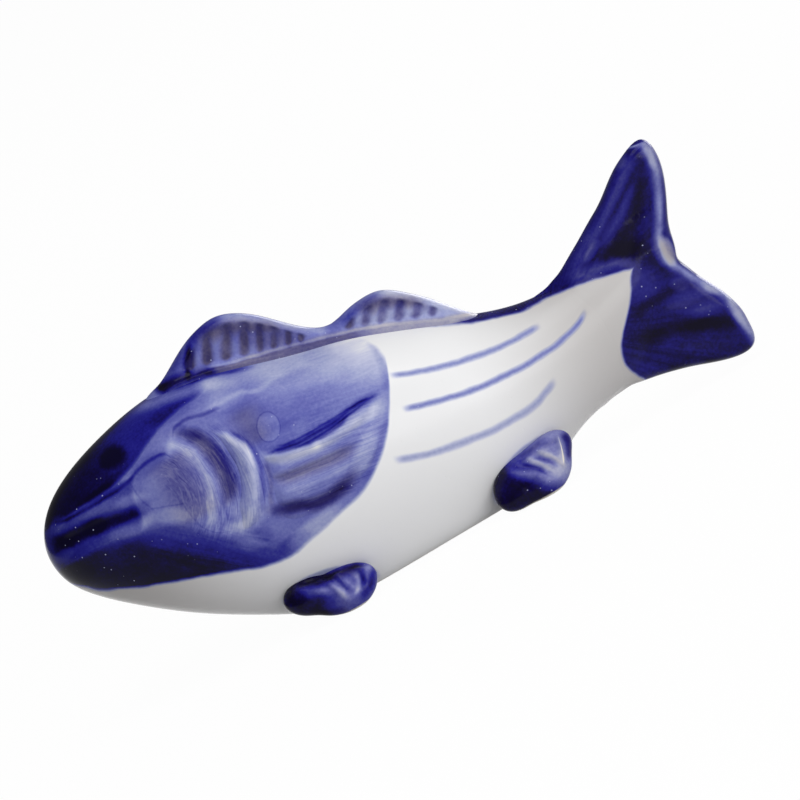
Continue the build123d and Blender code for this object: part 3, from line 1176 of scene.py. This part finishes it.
@dataclass(frozen=True)
class FlankDecoration:
    """Head wash, gill and pectoral strokes, flank stripes, the tail wash's edge and bleeds at the feet."""

    finish: GlazeFinish
    wash_rim: tuple[Pair, ...] = (
        (15, 172), (30, 183), (50, 200), (80, 214), (100, 222), (150, 240), (180, 251.5), (210, 262),
        (230, 264), (250, 261), (290, 252), (320, 245), (350, 228), (370, 210), (385, 190), (398, 168),
        (410, 140),
    )
    wash_rear: tuple[Pair, ...] = (
        (90, 386), (112, 398), (118, 402), (135, 408), (150, 408), (168, 402), (200, 398),
    )
    wash_soft: float = 3.0
    forehead_rim: tuple[Pair, ...] = (
        (15, 128), (43, 124), (77, 121), (107, 119), (137, 111), (157, 102), (172, 95), (197, 87),
        (223, 84), (262, 80),
    )
    muzzle_rim: tuple[Pair, ...] = (
        (112, 146), (120, 138), (130, 130), (140, 127), (150, 127), (160, 124), (175, 118),
    )
    muzzle_soft: float = 9.0
    chin_rim: tuple[Pair, ...] = (
        (150, 60), (160, 80), (170, 105), (180, 130), (190, 144), (200, 157), (210, 169), (220, 180),
        (235, 194), (255, 214),
    )
    chin_soft: float = 45.0
    cheek_middle: Pair = (128, 154)
    cheek_pitch: float = 3.4
    throat_hairs: HairPatch = HairPatch(0.22, 42.0, 9.0, 120.0, (170, 222), (80, 34), 36)
    pectoral_hairs: HairPatch = HairPatch(0.24, 8.0, 3.2, 50.0, (322, 200), (75, 48), -8)
    pools: tuple[Pool, ...] = (
        # Eye, forehead and muzzle
        Pool(0.18, (126, 91), (18, 14)),
        Pool(0.10, (152, 116), (26, 12), -10),
        Pool(0.08, (196, 82), (36, 11), 8),
        Pool(0.11, (96, 117), (32, 8)),
        Pool(-0.12, (42, 122), (16, 9), -20),
        # Mouth and chin
        Pool(-0.16, (108, 161), (32, 11), 4),
        Pool(-0.10, (120, 137), (22, 8), 12),
        Pool(0.10, (125, 148), (14, 13)),
        Pool(-0.12, (34, 151), (14, 8)),
        Pool(0.10, (34, 176), (24, 16)),
        # Cheek and gill slit
        Pool(0.12, (172, 145), (26, 40)),
        Pool(-0.12, (150, 172), (22, 12), 25),
        Pool(0.12, (197, 101), (9, 8)),
        Pool(0.12, (206, 112), (12, 10)),
        Pool(-0.12, (208, 196), (13, 14)),
        Pool(-0.12, (222, 212), (30, 12), -12),
        # Throat
        Pool(-0.10, (196, 214), (18, 11)),
        Pool(-0.14, (202, 232), (20, 11), 38),
        Pool(0.10, (216, 232), (14, 9), 25),
        Pool(0.14, (240, 253), (24, 9)),
        Pool(-0.22, (265, 251), (42, 12), -10),
        # Shoulder; the pale pools along its top are partly a painted reflection of the overhead light
        Pool(0.10, (262, 128), (26, 36)),
        Pool(-0.12, (252, 94), (26, 16), 10),
        Pool(0.06, (288, 126), (20, 12)),
        Pool(0.05, (300, 145), (34, 14)),
        Pool(-0.12, (318, 95), (70, 14), 12),
        Pool(-0.06, (345, 122), (34, 16), 10),
        Pool(0.10, (352, 104), (22, 10), 14),
        # Pectoral fin
        Pool(-0.14, (346, 211), (30, 13), -38),
        Pool(-0.14, (380, 182), (26, 14), -30),
    )
    strokes: tuple[Stroke, ...] = (
        # Dark line along the forehead's outline, painted shade and dark reflection where the skin turns
        # away, and mouth
        Stroke(
            0.08, 7, 5, ((34, 116), (45, 103), (60, 92), (80, 81), (110, 70), (150, 60), (190, 52)),
            umber=0.7,
        ),
        Stroke(-0.10, 9, 8, ((38, 129), (60, 128), (92, 130), (124, 136)), fade=12.0),
        Stroke(0.22, 16, 5, ((34, 139), (60, 140), (82, 142)), fade=10.0),
        Stroke(0.28, 14, 6, ((70, 141), (84, 143), (98, 147), (121, 152)), fade=9.0),
        # Lower edge of the forehead, and on to the shoulder
        Stroke(
            0.20, 3.0, 2, ((43, 120), (63, 122), (90, 123), (120, 121), (143, 114), (160, 112), (174, 116)),
        ),
        Stroke(-0.10, 7, 6, ((174, 117), (181, 110), (188, 103), (198, 99))),
        Stroke(0.22, 2.6, 2, ((190, 99), (205, 95), (225, 99), (240, 100))),
        Stroke(-0.10, 4, 3, ((225, 97), (245, 97), (268, 98), (283, 105), (300, 103)), fade=12.0),
        # Hairlines about the cheek
        Stroke(0.07, 1.5, 1.1, ((128, 124), (129, 138), (132, 148), (135, 156)), True),
        Stroke(0.07, 1.5, 1.1, ((133, 154), (148, 160), (165, 166))),
        Stroke(0.07, 1.5, 1.1, ((163, 164), (165, 180), (168, 195), (177, 206), (190, 213)), True),
        # Rim of the cheek, paler where the glaze thins and partly a painted highlight, and gill slit
        Stroke(
            -0.16, 10, 5,
            ((182, 106), (187, 114), (195, 127), (198.5, 142), (198, 157), (193, 172), (178, 199)), True,
        ),
        Stroke(-0.08, 9, 7, ((165, 200), (180, 208), (200, 212), (216, 210)), fade=12.0),
        Stroke(
            0.13, 15, 6, ((199, 104), (209.5, 120), (214.5, 142), (213.5, 165), (206, 185)), True,
            0.75, 10.0,
        ),
        Stroke(0.10, 4, 3, ((211, 114), (219, 130), (221, 148), (219.5, 162)), True, 0.4, 8.0),
        # Gill cover: its pale strokes are partly thin glaze over the ridge and partly a painted highlight
        Stroke(
            -0.12, 14, 8, ((229, 124), (234, 140), (237, 155), (236, 170), (230, 185), (224, 200)), True,
            fade=8.0,
        ),
        Stroke(-0.22, 6, 3.5, ((233, 127), (239.5, 139), (244, 151), (243.5, 163)), True, fade=7.0),
        Stroke(-0.09, 6, 3.5, ((243.5, 161), (241, 172), (235, 186), (229, 199)), True),
        Stroke(
            0.14, 4, 2.5, ((240, 127), (246.5, 140), (250, 153), (249.5, 166), (243.5, 183), (238, 198)),
            True,
        ),
        Stroke(-0.08, 8, 7, ((200, 215), (214, 208), (224, 202)), fade=8.0),
        # Brown tones of cheek and shoulder
        Stroke(0.0, 36, 16, ((172, 120), (173, 150), (172, 186)), True, 0.4),
        Stroke(0.0, 24, 12, ((258, 114), (260, 150)), True, 0.45),
        # Foot of the first dorsal fin
        Stroke(-0.28, 9, 6, ((165, 60), (195, 65), (215, 69), (240, 75), (262, 81)), fade=16.0),
        Stroke(0.30, 4, 3, ((205, 58), (240, 66), (270, 75.5), (286, 80)), fade=12.0),
        # Pectoral fin
        Stroke(-0.25, 10, 6, ((255, 167), (263, 171), (276, 177.5), (290, 181), (310, 183)), fade=5.0),
        Stroke(-0.19, 9, 6, ((306, 183), (325, 183), (345, 182.5), (382, 178.5)), fade=10.0),
        Stroke(
            0.22, 7, 4, ((266, 166), (284, 169), (304, 171), (332, 171), (358, 168), (378, 167)), fade=10.0,
        ),
        Stroke(0.14, 2.2, 1.5, ((262, 165), (280, 168), (300, 170.5), (330, 170), (360, 167.5), (384, 168))),
        Stroke(0.30, 3.4, 2.2, ((296, 176), (318, 177), (344, 174))),
        Stroke(0.02, 10, 6, ((256, 191), (285, 198), (335, 203)), umber=0.6, fade=12.0),
        Stroke(0.16, 1.8, 1.2, ((276, 164), (305, 167), (340, 166.5), (372, 166))),
        Stroke(0.14, 1.8, 1.2, ((288, 173.5), (312, 174.5), (340, 172.5), (368, 170.5))),
        Stroke(-0.06, 11, 6, ((254, 203), (280, 209), (320, 212), (350, 202)), fade=16.0),
        Stroke(
            0.33, 9, 7, ((240, 218), (262, 226), (285, 232), (304, 231.5), (320, 228)), umber=1.0, fade=16.0,
        ),
        Stroke(0.05, 4, 3, ((254, 172), (250, 190), (241, 206), (237, 222)), True, 0.3),
        # Rims of the wash
        Stroke(0.06, 7, 5, ((318, 238), (340, 229), (358, 214), (372, 202), (388, 184)), fade=12.0),
        Stroke(0.08, 7, 4, ((405, 118), (405, 135), (402, 150), (396, 166)), True),
    )
    stripes: tuple[Stroke, ...] = (
        Stroke(0.36, 4.6, 2.8, ((408, 160), (440, 172), (480, 183), (510, 188), (555, 189))),
        Stroke(
            0.42, 4.6, 2.8,
            ((403, 195), (430, 203), (470, 212), (510, 216), (550, 216), (580, 211), (601, 203)),
        ),
        Stroke(
            0.25, 5.4, 3.4,
            ((370, 235), (400, 245), (440, 253), (480, 257), (510, 256), (530, 250), (541, 246)),
        ),
    )
    bleed: float = 0.26
    bleed_sides: Pair = (0.0045, 0.0065)

    def material(self) -> bpy.types.Material:
        """Material of the body, the gill covers and the pectoral fins."""
        brush = Brush(GlazeNodes("cobalt_flank"))
        head, umber = self.head(brush)
        lines, _ = brush.lay(self.stripes)
        tail, tail_umber = TailWash().lay(brush)
        front, rear = brush.pool((247, 315), (55, 25), 14), brush.pool((480, 313), (55, 29), -14)
        bleed = front.most(rear).ease(0.0, 0.2) * brush.aside.ease(*self.bleed_sides) * self.bleed
        return self.finish.coat(brush, head.most(lines).most(tail).most(bleed), umber.most(tail_umber))

    def head(self, brush: Brush) -> tuple[Value, Value]:
        """Cobalt of the head with its strokes, and the brown tone of its grooves.

        The darkest of gill plate, forehead, muzzle and chin is laid inside the wash's rim, with brush
        hairs, strokes and pools on it, and thinner on raised carving.

        Args:
            brush: Brush of the material.

        Returns:
            Thickness of cobalt, and share of brown tone.
        """
        u, v = brush.u, brush.v
        wash = (v - brush.path(u, self.wash_rim)).ease(self.wash_soft, -self.wash_soft)
        wash = wash * (u - brush.path(v, self.wash_rear)).ease(self.wash_soft, -self.wash_soft)
        forehead = (v - brush.path(u, self.forehead_rim)).ease(6.0, -7.0) * u.ease(266.0, 224.0)
        muzzle = (u - brush.path(v, self.muzzle_rim)).ease(self.muzzle_soft, -self.muzzle_soft)
        muzzle = muzzle * v.ease(108.0, 120.0) * v.ease(190.0, 165.0)
        muzzle = muzzle * u.ease(30.0, 96.0, 0.84, 0.66)
        chin = (u - brush.path(v, self.chin_rim)).ease(self.chin_soft, -self.chin_soft, 0.45, 0.97)
        chin = chin * v.ease(142.0, 166.0)
        hairs = brush.streaks((0.35, 1.0, 1.6), 520.0)
        clouds = brush.streaks((1.0, 1.0, 0.6), 260.0, 4.0)
        # The plate is paler at its upper rear, partly a painted reflection of the overhead light, and
        # towards the wash's rear edge.
        plate = 0.48 - 0.15 * v.ease(145.0, 100.0) * u.ease(250.0, 320.0)
        plate = plate - 0.34 * u.ease(335.0, 400.0) * v.ease(178.0, 130.0)
        deep = (forehead * u.ease(190.0, 80.0, 0.78, 0.94)).most(muzzle).most(chin)
        added, umber = brush.lay(self.strokes, self.pools)
        cheek = brush.rings(self.cheek_middle, self.cheek_pitch)
        cheek = cheek * brush.pool((200, 165), (70, 70)).ease(0.0, 0.6) * u.ease(146.0, 176.0)
        spot = brush.pool((275, 142), (13, 17), 20)
        added = added + spot.ease(0.0, 0.12) * 0.07 - spot.ease(0.06, 0.35) * 0.15
        throat, fin = brush.patch(self.throat_hairs), brush.patch(self.pectoral_hairs)
        lines = brush.hairs(11.0, 4.5, 36.0) * u.ease(250.0, 310.0) * 0.09 + throat + fin + cheek * 0.34
        cobalt = plate.most(deep) + hairs * 0.12 + clouds * 0.2 + added + lines - brush.relief * 0.12
        return cobalt.most(0.0) * wash, umber * wash


@dataclass(frozen=True)
class DorsalDecoration:
    """Dark grooves between blue ribs, a navy front crest, painted shadow under the first crest's rim, pale
    rear slopes that are painted highlights, and a brown ledge.
    """

    finish: GlazeFinish
    root: tuple[Pair, ...] = (
        (185, 56), (215, 59), (240, 65), (255, 70), (275, 77), (300, 83), (325, 89), (350, 97), (375, 104),
        (400, 112), (420, 119), (440, 128), (460, 137), (480, 146), (505, 154),
    )
    ground: float = 0.42
    least: float = 0.05
    strokes: tuple[Stroke, ...] = (
        # First fin
        Stroke(0.30, 10, 6, ((250, 27), (266, 25), (284, 26)), fade=8.0),
        Stroke(0.20, 15, 8, ((195, 53), (215, 46), (236, 37), (254, 32))),
        Stroke(0.07, 26, 12, ((300, 56), (320, 66), (345, 78)), umber=0.5, fade=16.0),
        Stroke(0.48, 12, 6, ((196, 56), (225, 59), (255, 67)), umber=0.4),
        Stroke(0.46, 11, 6, ((230, 53), (246, 36)), umber=0.6, fade=5.0),
        # Painted shadow: brown shade under the rim of the first fin's crest.
        Stroke(0.12, 12, 9, ((258, 33), (280, 35), (304, 44), (320, 54), (334, 65)), umber=0.9, fade=12.0),
        # Painted highlight down the first fin's rear slope.
        Stroke(-0.12, 8, 5, ((290, 26), (305, 33), (320, 44), (340, 62), (358, 78), (372, 88)), fade=10.0),
        # Second fin
        Stroke(0.30, 9, 5, ((394, 88), (408, 84)), fade=8.0),
        Stroke(0.20, 9, 5, ((408, 84), (425, 82), (434, 84))),
        Stroke(0.12, 10, 5, ((368, 92), (380, 88), (395, 86))),
        Stroke(0.20, 10, 8, ((412, 87), (436, 92), (455, 102), (468, 112)), umber=0.8, fade=10.0),
        # Painted highlight down the second fin's rear slope.
        Stroke(-0.12, 8, 5, ((440, 82), (465, 101), (480, 116), (500, 140))),
        Stroke(0.40, 8, 4, ((490, 150), (508, 154))),
    )

    def material(self) -> bpy.types.Material:
        """Material of both dorsal fins: grooves from the relief, ledge and lip by the rise over the root."""
        brush = Brush(GlazeNodes("cobalt_dorsal"))
        u = brush.u
        rise = brush.path(u, self.root) - brush.v
        hairs = brush.streaks((0.6, 1.0, 0.6), 620.0)
        groove = (0.0 - brush.relief).ease(0.06, 0.44) * (hairs * 2.2 + 0.95)
        added, umber = brush.lay(self.strokes)
        foot = rise.ease(9.0, 6.0)
        ledge = foot * u.ease(240.0, 262.0) * u.ease(430.0, 380.0)
        lip = rise.ease(6.5, 8.5) * rise.ease(11.5, 9.5) * u.ease(230.0, 262.0)
        second = u.ease(390.0, 420.0)
        rear = 0.13 * second + 0.04 * foot * u.ease(420.0, 470.0)
        grooves = groove * (second * 0.16 + 0.16)
        cobalt = self.ground + hairs * 0.3 + added * (1.0 - groove * 0.5) + grooves
        cobalt = cobalt + ledge * 0.11 - lip * 0.08 - rear
        umber = umber.most(groove * (1.05 - second * 0.35)).most(ledge * 0.75)
        umber = umber.most(rise.ease(14.0, 9.0) * u.ease(262.0, 300.0) * 0.45)
        return self.finish.coat(brush, cobalt.most(self.least), umber)


@dataclass(frozen=True)
class TailDecoration:
    """Deep cobalt tail with fanned brush marks and a thinner, paler rim with a painted highlight along the
    trailing edges.
    """

    finish: GlazeFinish

    def material(self) -> bpy.types.Material:
        """Material of the tail."""
        brush = Brush(GlazeNodes("cobalt_tail"))
        return self.finish.coat(brush, *TailWash().lay(brush))


@dataclass(frozen=True)
class FootDecoration:
    """Deep cobalt fin feet, paler on the raised fingers, darker at the heels and paler at the tips partly as
    painted shade and light, with a painted highlight on the rear foot's end.
    """

    finish: GlazeFinish
    wobble: float = 1.0
    brown: float = 0.25
    strokes: tuple[Stroke, ...] = (
        # Front foot
        Stroke(-0.24, 7, 5, ((222, 303), (233, 307), (246, 313))),
        Stroke(-0.20, 5, 3, ((251, 309), (254, 318), (258, 330)), True, fade=4.0),
        Stroke(-0.16, 6, 4, ((265, 312), (268, 320), (270, 328)), True, fade=4.0),
        Stroke(-0.22, 5, 3, ((277, 311), (275, 320), (268, 329)), True, fade=4.0),
        Stroke(0.22, 5, 3, ((260, 308), (262, 316), (264, 324)), True, fade=4.0),
        Stroke(0.20, 5, 3, ((283, 309), (282, 316), (279, 324)), True, fade=4.0),
        Stroke(-0.20, 5, 3, ((290, 309), (291, 316)), True, fade=4.0),
        Stroke(0.22, 7, 5, ((248, 301), (262, 303), (276, 305), (286, 307)), umber=0.9),
        # Dark along the front foot's lower left, partly painted shade.
        Stroke(0.10, 8, 6, ((222, 328), (236, 334), (252, 338)), umber=0.8),
        Stroke(0.24, 8, 5, ((272, 334), (284, 328), (293, 320))),
        # Rear foot
        Stroke(-0.20, 10, 6, ((460, 304), (469, 310), (477, 315))),
        Stroke(-0.20, 6, 4, ((482, 301), (490, 309), (496, 318)), fade=4.0),
        Stroke(-0.20, 6, 4, ((496, 301), (503, 308), (508, 316)), fade=4.0),
        Stroke(0.18, 5, 3, ((476, 302), (484, 310), (490, 318)), fade=4.0),
        Stroke(0.16, 5, 3, ((490, 302), (496, 308), (502, 316)), fade=4.0),
        # Dark brown rim on the rear foot's rounded end, partly painted shade where the end turns away.
        Stroke(0.30, 8, 4, ((525, 294), (526, 302), (523, 310), (518, 319)), True, 0.8, 5.0),
        Stroke(0.20, 6, 4, ((474, 294), (488, 292), (504, 291)), umber=0.4, fade=8.0),
        Stroke(-0.12, 16, 9, ((482, 328), (497, 325), (512, 320)), fade=8.0),
        # Painted highlight on the rear foot's right end.
        Stroke(-0.50, 3, 1.5, ((511, 318), (515, 309), (518, 299)), fade=2.0),
    )

    def material(self) -> bpy.types.Material:
        """Material of the four fin feet: each fades from its heel to its tip, partly painted shade and
        light, and darkens in its grooves.
        """
        brush = Brush(GlazeNodes("cobalt_feet"), self.wobble)
        u, v = brush.u, brush.v
        added, umber = brush.lay(self.strokes)
        hairs = brush.streaks((1.0, 1.0, 1.0), 700.0) * 0.3
        # Dark heel to paler tip: partly the feet's own cobalt, partly painted shade on the heel and painted
        # light on the tip.
        front = (u + v * 0.35).ease(340.0, 370.0, 0.96, 0.61)
        rear = (u - v * 0.6).ease(272.0, 312.0, 0.96, 0.42)
        cobalt = u.ease(350.0, 380.0) * (rear - front) + front + hairs + added - brush.relief * 0.3
        groove = (0.0 - brush.relief).ease(0.1, 0.3) * 0.3 + self.brown
        return self.finish.coat(brush, cobalt, umber.most(groove))


# Studio


@dataclass(frozen=True)
class Softbox:
    """Square studio lamp, turned to a target."""

    name: str
    place: tuple[float, float, float]
    target: tuple[float, float, float]
    size: float
    power: float

    def hang(self) -> None:
        """Adds the lamp."""
        lamp = bpy.data.lights.new(self.name, "AREA")
        lamp.size = self.size
        lamp.energy = self.power
        holder = bpy.data.objects.new(self.name, lamp)
        holder.location = self.place
        heading = Vector(self.target) - Vector(self.place)
        holder.rotation_euler = heading.to_track_quat("-Z", "Y").to_euler()
        bpy.context.scene.collection.objects.link(holder)


@dataclass(frozen=True)
class Studio:
    """White table, soft lamps, dim room and the photograph's camera."""

    target: tuple[float, float, float] = (0.0020, 0.0, 0.0148)
    distance: float = 1.0
    elevation: float = 10.0
    roll: float = 30.0
    frame_width: float = 0.08253
    sensor: float = 36.0
    clip: Pair = (0.01, 20.0)
    room: float = 0.15
    table_radius: float = 4.0
    table_sides: int = 96
    table_tones: Pair = (0.67, 0.95)
    table_roughness: float = 0.9
    table_glow: float = 0.975
    lamps: tuple[Softbox, ...] = (
        Softbox("key_softbox", (0.205, -0.367, 0.035), (-0.004, -0.005, 0.014), 0.30, 1.30),
        Softbox("high_softbox", (0.080, -0.190, 0.48), (-0.004, -0.003, 0.018), 0.35, 1.32),
        Softbox("back_softbox", (0.280, 0.400, 0.09), (0.0, 0.0, 0.015), 0.30, 1.20),
    )

    def set_up(self) -> None:
        """Camera, lamps, room and table."""
        scene = bpy.context.scene
        scene.view_settings.view_transform = "Standard"
        for lamp in self.lamps:
            lamp.hang()
        world = bpy.data.worlds.new("dim_room")
        world.use_nodes = True
        world.node_tree.nodes["Background"].inputs[0].default_value = (self.room, self.room, self.room, 1.0)
        scene.world = world
        self.table()
        self.camera()

    def camera(self) -> None:
        """Long lens, raised by the elevation and rolled so that the tail climbs to the right."""
        rise, turn = math.radians(self.elevation), math.radians(self.roll)
        right, up = Vector((1.0, 0.0, 0.0)), Vector((0.0, math.sin(rise), math.cos(rise)))
        back = Vector((0.0, -math.cos(rise), math.sin(rise)))
        rolled_right = right * math.cos(turn) - up * math.sin(turn)
        rolled_up = right * math.sin(turn) + up * math.cos(turn)
        lens = bpy.data.cameras.new("camera")
        lens.sensor_width = self.sensor
        lens.lens = self.sensor * self.distance / self.frame_width
        lens.clip_start, lens.clip_end = self.clip
        holder = bpy.data.objects.new("camera", lens)
        axes = Matrix((rolled_right, rolled_up, back)).transposed().to_4x4()
        axes.translation = Vector(self.target) + back * self.distance
        holder.matrix_world = axes
        bpy.context.scene.collection.objects.link(holder)
        bpy.context.scene.camera = holder

    def table(self) -> None:
        """Wide round table top: white where it is seen, grey where it only throws light back up."""
        turn = np.linspace(0.0, 2 * math.pi, self.table_sides, endpoint=False)
        rim = np.stack([np.cos(turn), np.sin(turn), np.zeros_like(turn)], -1) * self.table_radius
        mesh = bpy.data.meshes.new("table")
        mesh.from_pydata(rim.tolist(), [], [list(range(len(rim)))])
        floor = bpy.data.objects.new("table", mesh)
        bpy.context.scene.collection.objects.link(floor)
        glaze = GlazeNodes("white_table")
        kinds = ("Camera", "Glossy", "Transmission")
        rays = [glaze.node("ShaderNodeLightPath", {}, {}, f"Is {kind} Ray") for kind in kinds]
        seen = rays[0].most(rays[1]).most(rays[2])
        hidden_tone, seen_tone = self.table_tones
        tone = seen * (seen_tone - hidden_tone) + hidden_tone
        grey = glaze.node("ShaderNodeCombineColor", {}, {0: tone, 1: tone, 2: tone})
        glaze.feed(glaze.shader.inputs["Base Color"], grey)
        glaze.feed(glaze.shader.inputs["Roughness"], self.table_roughness)
        glaze.feed(glaze.shader.inputs["Specular IOR Level"], 0.0)
        glow = glaze.node("ShaderNodeEmission", {}, {"Color": (1.0, 1.0, 1.0, 1.0), "Strength": 1.0})
        shader = Value(glaze, glaze.shader.outputs[0])
        mixed = glaze.node("ShaderNodeMixShader", {}, {0: seen * self.table_glow, 1: shader, 2: glow})
        glaze.feed(glaze.output.inputs[0], mixed)
        mesh.materials.append(glaze.material)


# Fish


FIRST_CREST = (
    (15.8, 27.4), (17.0, 28.2), (18.8, 28.8), (20.3, 29.55), (23.0, 31.05), (25.4, 31.85), (27.0, 32.0),
    (29.1, 31.35), (31.2, 29.85), (33.2, 27.85), (35.3, 26.0), (36.4, 25.45), (37.5, 25.3),
)
SECOND_CREST = (
    (37.3, 25.3), (38.2, 25.45), (39.4, 25.75), (41.5, 26.0), (43.5, 25.7), (45.6, 24.2), (47.7, 22.1),
    (49.7, 19.7), (50.9, 18.5), (51.6, 17.9),
)
FIRST_GROOVES = (22.1, 23.8, 25.8, 27.7, 29.2, 30.6, 32.1, 33.4)
SECOND_GROOVES = (38.2, 39.8, 41.3, 43.0, 44.7, 46.3)
FRONT_MIDDLE = (23.7, 8.2, 2.8)
FRONT_LEAF = (
    (170, 5.1), (-177, 4.6), (-153, 3.35), (-123, 2.95), (-86, 3.3), (-63, 3.9), (-40, 4.5), (-18, 4.95),
    (-6, 4.95), (6, 4.45), (20, 3.5), (56, 2.3), (108, 2.5), (140, 4.15),
)
FRONT_RIBS = (
    Rib((-2.7, 0.6), (-1.0, -0.9), 0.28, 0.8), Rib((-1.0, -0.9), (1.5, -2.9), 0.22, 0.9),
    Rib((-2.4, 1.3), (4.2, 0.1), -0.22, 0.4), Rib((0.2, -0.5), (0.9, -2.2), 0.2, 0.4),
    Rib((1.3, 0.2), (1.6, -1.7), 0.22, 0.4), Rib((2.6, -0.4), (3.2, -1.6), -0.15, 0.5),
    Rib((3.7, -0.6), (3.9, -1.7), 0.22, 0.4),
)
REAR_MIDDLE = (47.7, 7.3, 2.8)
REAR_LEAF = (
    (-175, 4.8), (171, 4.35), (149, 3.55), (122, 2.85), (80, 2.75), (50, 3.75), (35, 4.8), (21, 5.3),
    (13, 5.2), (-1, 4.55), (-23, 4.1), (-50, 3.85), (-74, 3.7), (-91, 3.6), (-121, 3.8), (-147, 5.0),
    (-161, 5.1),
)
REAR_RIBS = (
    Rib((-2.1, 0.1), (0.0, -1.7), 0.26, 0.7), Rib((0.0, -1.7), (1.0, -3.0), 0.2, 0.8),
    Rib((-1.1, 0.35), (0.7, -1.35), -0.16, 0.4), Rib((0.2, 0.6), (1.7, -1.3), 0.22, 0.4),
    Rib((1.0, 0.2), (2.3, -1.1), -0.16, 0.4), Rib((1.7, 0.6), (2.85, -1.0), 0.22, 0.4),
    Rib((-0.4, 0.9), (3.2, 1.0), -0.18, 0.4), Rib((4.0, 1.0), (3.1, -1.7), 0.3, 0.3),
    Rib((4.6, 0.9), (3.8, -1.4), -0.18, 0.4),
)


def build_fish() -> list[tuple[bpy.types.Object, str, str]]:
    """Builds and dresses every piece.

    Returns:
        Each piece with the node that it stands for and its material slot.
    """
    form = FishForm()
    finish = GlazeFinish()
    flank_paint = FlankDecoration(finish).material()
    dorsal_paint = DorsalDecoration(finish).material()
    tail_paint = TailDecoration(finish).material()
    foot_paint = FootDecoration(finish).material()
    first = DorsalFin(form, "first_dorsal", FIRST_CREST, FIRST_GROOVES, 0.45, (0.5, 0.8))
    second = DorsalFin(form, "second_dorsal", SECOND_CREST, SECOND_GROOVES, 0.6, (0.8, 0.5))
    made = [
        (Body(form).build(), "body", flank_paint),
        (first.build(), "first_dorsal_fin", dorsal_paint),
        (second.build(), "second_dorsal_fin", dorsal_paint),
        (TailFin(form).build(), "tail_fin", tail_paint),
    ]
    for flank in Flank:
        side = flank.name.lower()
        gill = GillCover(form, f"{side}_gill_ridge", flank).build()
        fan = PectoralFin(form, f"{side}_pectoral_fan", flank).build()
        front = FinFoot(f"{side}_front_foot", flank, FRONT_MIDDLE, FRONT_LEAF, FRONT_RIBS).build()
        rear = FinFoot(f"{side}_rear_foot", flank, REAR_MIDDLE, REAR_LEAF, REAR_RIBS).build()
        made += [
            (gill, f"{side}_gill_cover", flank_paint),
            (fan, f"{side}_pectoral_fin", flank_paint),
            (front, f"{side}_pelvic_fin", foot_paint),
            (rear, f"{side}_anal_fin", foot_paint),
        ]
    for piece, _, paint in made:
        piece.data.materials.append(paint)
    return [(piece, node, "white_porcelain" if node == "body" else "cobalt_blue") for piece, node, _ in made]


def main() -> None:
    """Loads the frame, builds the fish and its studio, and logs what each piece stands for."""
    logging.basicConfig(level=logging.INFO, format="%(name)s: %(message)s")
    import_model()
    for piece, node, slot in build_fish():
        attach(piece, "root")
        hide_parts(node)
        LOG.info("%s stands for %s with %d faces", piece.name, node, len(piece.data.polygons))
    Studio().set_up()


if __name__ == "__main__":
    main()
